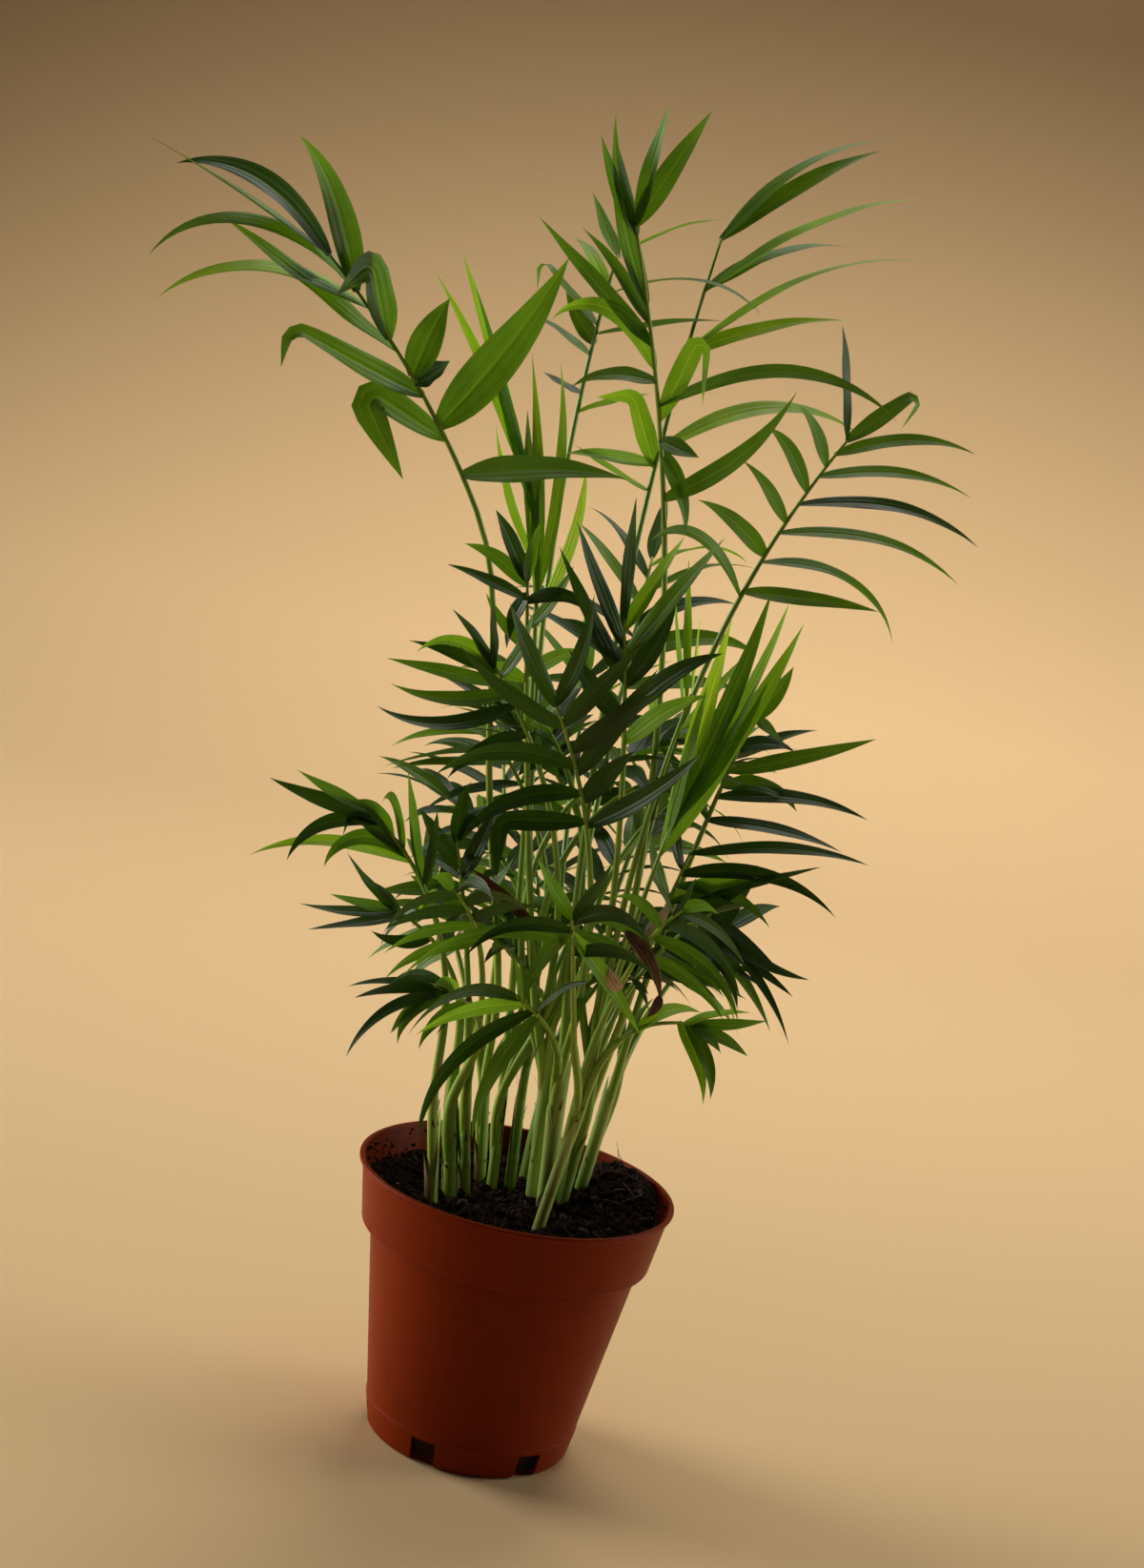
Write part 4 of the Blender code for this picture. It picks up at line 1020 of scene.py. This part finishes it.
def turned(outline):
    """Points and faces of an outline of (radius, height) turned round the pot's axis."""
    n = POT_ROUND
    points = [Vector((0, 0, outline[0].y))]
    for r, h in outline[1:-1]:
        for k in range(n):
            angle = math.tau * k / n
            points.append(Vector((r * math.cos(angle), r * math.sin(angle), h)))
    points.append(Vector((0, 0, outline[-1].y)))
    faces = [(0, 1 + (k + 1) % n, 1 + k) for k in range(n)]
    faces += ring_faces(1, len(outline) - 2, n) + fan_faces(points, n)
    return points, faces


def make_pot():
    """The pot, with a low step round its body, and a collar that overhangs it and ends in a lip."""
    ring = STEP_RING_HEIGHT
    ring_top = ring + STEP_RING_RISE
    lip_foot = POT_HEIGHT - RIM_LIP
    step = SHOULDER - INNER_STEP
    profile = [
        (0, 0, 0),
        (BASE_RADIUS - FOOT_FLAT, 0, 0),
        (BASE_RADIUS - BASE_EDGE, 0, 1.2),
        (BASE_RADIUS + 0.1, BASE_EDGE + 0.5, 1.2),
        (outer_radius(ring), ring, 0.4),
        (outer_radius(ring_top) - STEP_RING, ring_top, 0.4),
        (BODY_TOP_RADIUS - UNDERCUT, SHOULDER - UNDERCUT_DEPTH, 1.5),
        (BODY_TOP_RADIUS - 0.9, SHOULDER - 0.2, 0.3),
        (COLLAR_FOOT_RADIUS + OVERHANG, SHOULDER - 0.6, 1.6),
        (RIM_RADIUS - 1.0, lip_foot - 0.6, 0.8),
        (RIM_RADIUS + LIP, lip_foot + 0.1, 0.7),
        (RIM_RADIUS + LIP, POT_HEIGHT, 0.7),
        (RIM_RADIUS - WALL, POT_HEIGHT, 0.5),
        (RIM_RADIUS - WALL - 0.5, POT_HEIGHT - MOUTH_DEPTH, 0.6),
        (inner_radius(SHOULDER + EDGE), SHOULDER + EDGE, 0.5),
        (inner_radius(step), step, 0.5),
        (inner_radius(FLOOR), FLOOR, 0.5),
        (0, FLOOR, 0),
    ]
    batch = Batch()
    batch.add(*turned(rounded(profile)), node="pot")
    cut_notches(batch.build("pot_shell", pot_surface(), "pot"))


def pot_surface():
    """Moulded plastic: a deep red-brown with faint upright flow marks, smears of peat and a dull gloss."""
    look = Look("terracotta_plastic", POT_SHINE)
    red = look.ramp(look.noise(*POT_FLOW), *POT_REDS)
    smears = look.noise(*POT_SMEARS)
    look.feed(look.shader, {
        "Base Color": look.mix("MULTIPLY", 1.0, red, look.ramp(smears, *POT_DUST)),
        "Roughness": look.between(smears, *POT_GLOSS),
        "Normal": look.bump(look.noise(*POT_GRAIN), *POT_BUMP),
    })
    return look.material


def cut_notches(pot):
    """Cuts drain notches round the pot's foot with boxes."""
    corners = [(x, y, z) for x in (-0.5, 0.5) for y in (-0.5, 0.5) for z in (-0.5, 0.5)]
    faces = [(0, 1, 3, 2), (4, 6, 7, 5), (0, 4, 5, 1), (2, 3, 7, 6), (0, 2, 6, 4), (1, 5, 7, 3)]
    size = Vector((NOTCH_DEPTH, NOTCH_WIDTH, 2 * NOTCH_HEIGHT * NOTCH_RISE))
    place = Vector((BASE_RADIUS, 0, 0))
    boxes = Batch()
    for i in range(NOTCH_COUNT):
        turn = Matrix.Rotation(math.radians(NOTCH_START + i * 360 / NOTCH_COUNT), 3, "Z")
        boxes.add([turn @ (Vector(corner) * size + place) for corner in corners], faces)
    cutter = boxes.shape("notches")
    modifier = pot.modifiers.new("Notches", "BOOLEAN")
    modifier.operation = "DIFFERENCE"
    modifier.object = cutter
    modifier.solver = "EXACT"
    bpy.context.view_layer.objects.active = pot
    bpy.ops.object.modifier_apply(modifier=modifier.name)
    bpy.data.objects.remove(cutter, do_unlink=True)
    pot.data.shade_smooth()
    pot.data.set_sharp_from_angle(angle=math.radians(SHARP_ANGLE))


# Peat: its roughness as (wavelength, layer, height), its clods as (wavelength, layer), and its crumbs
SOIL_SEED = 21
SOIL_ROUND = 150
SOIL_RINGS = 56
ROUGHNESS = ((9, 3, 1.8), (2.6, 7, 0.9), (1.2, 11, 0.5))
CLODS = (5, 5)
CLOD_HEIGHT = 2.0
CLOD_LEVEL = 0.2
CRUMB_SIZES = (0.4, 0.5, 0.6, 0.8, 1.0, 1.4, 2.2)
WALL_CRUMB_SIZES = CRUMB_SIZES[:4]
CRUMB_SQUASH = (0.5, 1)
CRUMBS = 3000
BANK_CRUMBS = 800
WALL_CRUMBS = 420

# Places on the peat, as shares of the room inside the wall, with the bank's half angle in radians
SOIL_SHARE = 0.98
BANK_HALF_ANGLE = 0.42
BANK_SHARES = (0.72, 1.0)
BANK_LIFTS = (-0.6, 1.0)
BANK_CLEARANCE = 1.0
WALL_THINNING = 2.5
WALL_SUNK = 0.1


def soil_height(x, y):
    """Level of the peat, banked up towards the back right."""
    away = math.hypot(x - SOIL_MOUND_CENTRE[0], y - SOIL_MOUND_CENTRE[1])
    bank = SOIL_MOUND * math.exp(-((away / SOIL_MOUND_SPREAD) ** 2))
    wave_x = math.sin(math.tau * x / SOIL_WAVELENGTHS[0])
    wave_y = math.cos(math.tau * y / SOIL_WAVELENGTHS[1])
    return SOIL_LEVEL + bank + SOIL_WAVE * wave_x * wave_y


def relief(x, y, wavelength, layer):
    return noise.noise(Vector((x / wavelength, y / wavelength, layer)))


def rough_height(x, y):
    """The peat's level with its clods and grains."""
    clods = CLOD_HEIGHT * (CLOD_LEVEL - abs(relief(x, y, *CLODS)))
    grains = sum(height * relief(x, y, wavelength, layer) for wavelength, layer, height in ROUGHNESS)
    return soil_height(x, y) + clods + grains


# Little stones of 20 faces
GOLDEN = (1 + math.sqrt(5)) / 2
STONE_CORNERS = [
    (-1, GOLDEN, 0), (1, GOLDEN, 0), (-1, -GOLDEN, 0), (1, -GOLDEN, 0), (0, -1, GOLDEN), (0, 1, GOLDEN),
    (0, -1, -GOLDEN), (0, 1, -GOLDEN), (GOLDEN, 0, -1), (GOLDEN, 0, 1), (-GOLDEN, 0, -1), (-GOLDEN, 0, 1),
]
STONE_FACES = [
    (0, 11, 5), (0, 5, 1), (0, 1, 7), (0, 7, 10), (0, 10, 11), (1, 5, 9), (5, 11, 4), (11, 10, 2), (10, 7, 6),
    (7, 1, 8), (3, 9, 4), (3, 4, 2), (3, 2, 6), (3, 6, 8), (3, 8, 9), (4, 9, 5), (2, 4, 11), (6, 2, 10),
    (8, 6, 7), (9, 8, 1),
]
STONE_REACH = 1.9
STONE_SPREAD = (0.7, 1.25)


def stone(centre, size, squash, rng):
    """Points and faces of an uneven stone, squashed and then turned at random."""
    axis = Vector((rng.uniform(-1, 1), rng.uniform(-1, 1), rng.uniform(-1, 1))).normalized()
    spin = Quaternion(axis, rng.uniform(0, math.tau))
    points = []
    for corner in STONE_CORNERS:
        v = Vector(corner) * (size / STONE_REACH * rng.uniform(*STONE_SPREAD))
        v.z *= squash
        points.append(centre + spin @ v)
    return points, STONE_FACES


def on_peat(r, angle, lift=0.0):
    x, y = r * math.cos(angle), r * math.sin(angle)
    return Vector((x, y, rough_height(x, y) + lift))


def soil_place(rng):
    """A place on the peat, taken at random."""
    r = SOIL_SHARE * math.sqrt(rng.random()) * (inner_radius(SOIL_LEVEL) - GAP)
    return on_peat(r, rng.uniform(0, math.tau))


def bank_place(rng):
    """A place on the bank against the pot's rim at the back right."""
    angle = rng.gauss(math.atan2(SOIL_MOUND_CENTRE[1], SOIL_MOUND_CENTRE[0]), BANK_HALF_ANGLE)
    r = rng.uniform(*BANK_SHARES) * (inner_radius(SOIL_LEVEL + SOIL_WAVE) - BANK_CLEARANCE)
    return on_peat(r, angle, rng.uniform(*BANK_LIFTS))


def wall_place(rng):
    """A place on the pot's inner wall, where peat clings, more of it lower down."""
    angle = rng.uniform(0, math.tau)
    height = SOIL_LEVEL + (POT_HEIGHT - RIM_LIP - SOIL_LEVEL) * rng.random() ** WALL_THINNING
    r = inner_radius(height) - WALL_SUNK
    return Vector((r * math.cos(angle), r * math.sin(angle), height))


def ring_points(radius, height):
    """Points of a level ring at a height, or at a height for each place."""
    points = []
    for i in range(SOIL_ROUND):
        angle = math.tau * i / SOIL_ROUND
        x, y = math.cos(angle), math.sin(angle)
        level = height(radius * x, radius * y) if callable(height) else height
        reach = min(radius, inner_radius(min(level, POT_HEIGHT)) - GAP)
        points.append(Vector((reach * x, reach * y, level)))
    return points


def make_soil():
    """The peat from the pot's floor to its rough top, with crumbs on it, on its bank and on the wall."""
    rng = random.Random(SOIL_SEED)
    step = SHOULDER - INNER_STEP
    points = ring_points(inner_radius(FLOOR) - 2 * GAP, FLOOR + GAP)
    points += ring_points(inner_radius(step) - 2 * GAP, step)
    for ring in range(SOIL_RINGS):
        points += ring_points((1 - ring / SOIL_RINGS) * inner_radius(POT_HEIGHT), rough_height)
    points.append(Vector((0, 0, rough_height(0, 0))))
    faces = ring_faces(0, SOIL_RINGS + 2, SOIL_ROUND) + fan_faces(points, SOIL_ROUND)
    faces.append(tuple(reversed(range(SOIL_ROUND))))
    soil = Batch()
    soil.add(points, faces, node="soil")
    for place, count in ((soil_place, CRUMBS), (bank_place, BANK_CRUMBS)):
        for _ in range(count):
            soil.add(*stone(place(rng), rng.choice(CRUMB_SIZES), rng.uniform(*CRUMB_SQUASH), rng))
    for _ in range(WALL_CRUMBS):
        soil.add(*stone(wall_place(rng), rng.choice(WALL_CRUMB_SIZES), 1, rng))
    soil.build("peat", surface("peat"), "soil")
    make_litter(rng)


# Litter on the peat: bark and perlite as (count, sizes, squash), and root fibres, which lie on the peat or
# stand up from the bank, each kind as (slopes, fall)
BARK = (70, (1.0, 3.0), 0.4)
PERLITE = (14, (0.4, 0.8), 0.8)
FIBRES = 190
STANDING_FIBRES = 26
FIBRE_STEPS = 9
FIBRE_SIDES = 4
FIBRE_LENGTHS = (5, 17)
FIBRE_BEND = 110
FIBRE_RADII = (0.07, 0.17)
FIBRE_TAPER = 0.06
FIBRE_LIFT = 0.1
FIBRE_REACH = 0.8
LYING = ((-0.1, 0.5), 0.1)
STANDING = ((0.4, 1.1), 0.06)
RIM_CLEARANCE = 2.5


def fibre_line(start, heading, length, bend, fall):
    """A curving fibre that stays above the peat."""
    centres = []
    point = start
    for _ in range(FIBRE_STEPS):
        centres.append(point)
        heading = Quaternion(UP, math.radians(bend / FIBRE_STEPS)) @ heading
        heading.z -= fall
        point = point + heading * (length / FIBRE_STEPS)
        point.z = max(point.z, rough_height(point.x, point.y) + FIBRE_LIFT)
    return centres


def make_litter(rng):
    """Root fibres, bits of bark and a few white grains."""
    fibres, bark, perlite = Batch(), Batch(), Batch()
    for number in range(FIBRES + STANDING_FIBRES):
        place, (slopes, fall) = (soil_place, LYING) if number < FIBRES else (bank_place, STANDING)
        start = place(rng)
        slope = rng.uniform(*slopes)
        heading = Quaternion(UP, rng.uniform(0, math.tau)) @ Vector((FIBRE_REACH, 0, slope))
        length = rng.uniform(*FIBRE_LENGTHS)
        centres = fibre_line(start, heading, length, rng.uniform(-FIBRE_BEND, FIBRE_BEND), fall)
        if max(math.hypot(p.x, p.y) for p in centres) > RIM_RADIUS - RIM_CLEARANCE:
            continue
        thin = rng.uniform(*FIBRE_RADII)
        radii = [thin * (1 - FIBRE_TAPER * i) for i in range(FIBRE_STEPS)]
        fibres.add(*tube(centres, radii, FIBRE_SIDES))
    for batch, (count, sizes, squash) in ((bark, BARK), (perlite, PERLITE)):
        for _ in range(count):
            batch.add(*stone(soil_place(rng), rng.uniform(*sizes), squash, rng))
    fibres.build("fibres", surface("root_fibre"), "soil")
    bark.build("bark", surface("bark_chip"), "soil")
    perlite.build("perlite", surface("perlite_grit"), "soil")


# Camera, in metres and in millimetres of lens and sensor
CAMERA_PLACE = (-0.0093, -0.9472, 0.4270)
CAMERA_RIGHT = (0.98, 0.035, 0.195)
CAMERA_UP = (-0.198, 0.173, 0.965)
CAMERA_LENS = 60
SENSOR_HEIGHT = 36


def make_camera():
    camera = link(bpy.data.objects.new("camera", bpy.data.cameras.new("camera")))
    back = Vector(CAMERA_RIGHT).cross(Vector(CAMERA_UP)).normalized()
    right = Vector(CAMERA_UP).cross(back).normalized()
    up = back.cross(right)
    camera.matrix_world = Matrix.Translation(CAMERA_PLACE) @ Matrix((right, up, back)).transposed().to_4x4()
    camera.data.lens = CAMERA_LENS
    camera.data.sensor_fit = "VERTICAL"
    camera.data.sensor_height = SENSOR_HEIGHT
    bpy.context.scene.camera = camera


# Backdrop, in metres, and its paper's colours by height, darkening up the wall as painted shade
STAGE_WIDTH = 3.0
STAGE_FRONT = -2.6
STAGE_BACK = 1.9
STAGE_BEND = 0.8
STAGE_HEIGHT = 3.2
STAGE_BEND_STEPS = 24
PAPER_PAINTED_SHADE = ((0.10, (0.785, 0.555, 0.300)), (0.60, (0.350, 0.245, 0.132)), (0.80, (0.205, 0.137, 0.070)))
PAPER_ROUGHNESS = 0.9
PAPER_SHINE = 0.1


def make_backdrop():
    """A seamless sweep of paper, floor, bend and wall in one sheet, darker up the wall by painted shade."""
    line = [(STAGE_FRONT, 0.0), (STAGE_BACK - STAGE_BEND, 0.0)]
    for i in range(1, STAGE_BEND_STEPS + 1):
        angle = math.radians(i * 90 / STAGE_BEND_STEPS)
        line.append((line[1][0] + STAGE_BEND * math.sin(angle), STAGE_BEND * (1 - math.cos(angle))))
    line.append((STAGE_BACK, STAGE_HEIGHT))
    points = [Vector((x, y, z)) for y, z in line for x in (-STAGE_WIDTH, STAGE_WIDTH)]
    mesh = bpy.data.meshes.new("backdrop")
    mesh.from_pydata(points, [], ring_faces(0, len(line), 2, closed=False))
    look = Look("backdrop_paper_painted_shade", PAPER_SHINE)
    height = look.add("SeparateXYZ", {"Vector": look.add("TexCoord")["Object"]})["Z"]
    # The colour ramp by height is painted shade: cream on the floor, dark tan high on the wall, where the
    # light falls off.
    look.feed(look.shader, {"Base Color": look.ramp(height, *PAPER_PAINTED_SHADE), "Roughness": PAPER_ROUGHNESS})
    mesh.materials.append(look.material)
    mesh.shade_smooth()
    backdrop = link(bpy.data.objects.new("backdrop", mesh))


# Lights: place and aim in metres, side in metres, power in watts, spread in degrees, colour
DAY = (1.0, 0.97, 0.90)
WARM = (1.0, 0.96, 0.90)
LIGHTS = {
    "side_left": ((-1.9, 0.5, 0.55), (0.2, -0.3, 0.25), 1.0, 25, 140, DAY),
    "side_right": ((2.0, 0.5, 0.6), (-0.2, -0.3, 0.25), 1.0, 11, 140, DAY),
    "back_top": ((0.1, 0.7, 1.5), (0, 0, 0.35), 0.8, 2.8, 90, DAY),
    "fill_front": ((-0.4, -1.0, 1.8), (0, 0, 0.25), 0.8, 0.6, 120, DAY),
    "backdrop_glow": ((0.20, 0.65, 1.8), (0.30, 1.65, 0.1), 1.2, 9, 90, WARM),
}
ROOM_LIGHT = 0.01


def make_lights():
    for name, (place, aim, size, power, spread, colour) in LIGHTS.items():
        light = bpy.data.lights.new(name, "AREA")
        light.size = size
        light.energy = power
        light.spread = math.radians(spread)
        light.color = colour
        obj = link(bpy.data.objects.new(name, light))
        obj.location = place
        obj.rotation_euler = (Vector(aim) - Vector(place)).to_track_quat("-Z", "Y").to_euler()
    world = bpy.data.worlds.new("soft_room")
    world.use_nodes = True
    background = world.node_tree.nodes["Background"]
    background.inputs["Color"].default_value = (*WARM, 1)
    background.inputs["Strength"].default_value = ROOM_LIGHT
    bpy.context.scene.world = world


make_camera()
bpy.context.scene.view_settings.view_transform = "Standard"
make_fronds()
make_canes()
make_pot()
make_soil()
make_backdrop()
make_lights()
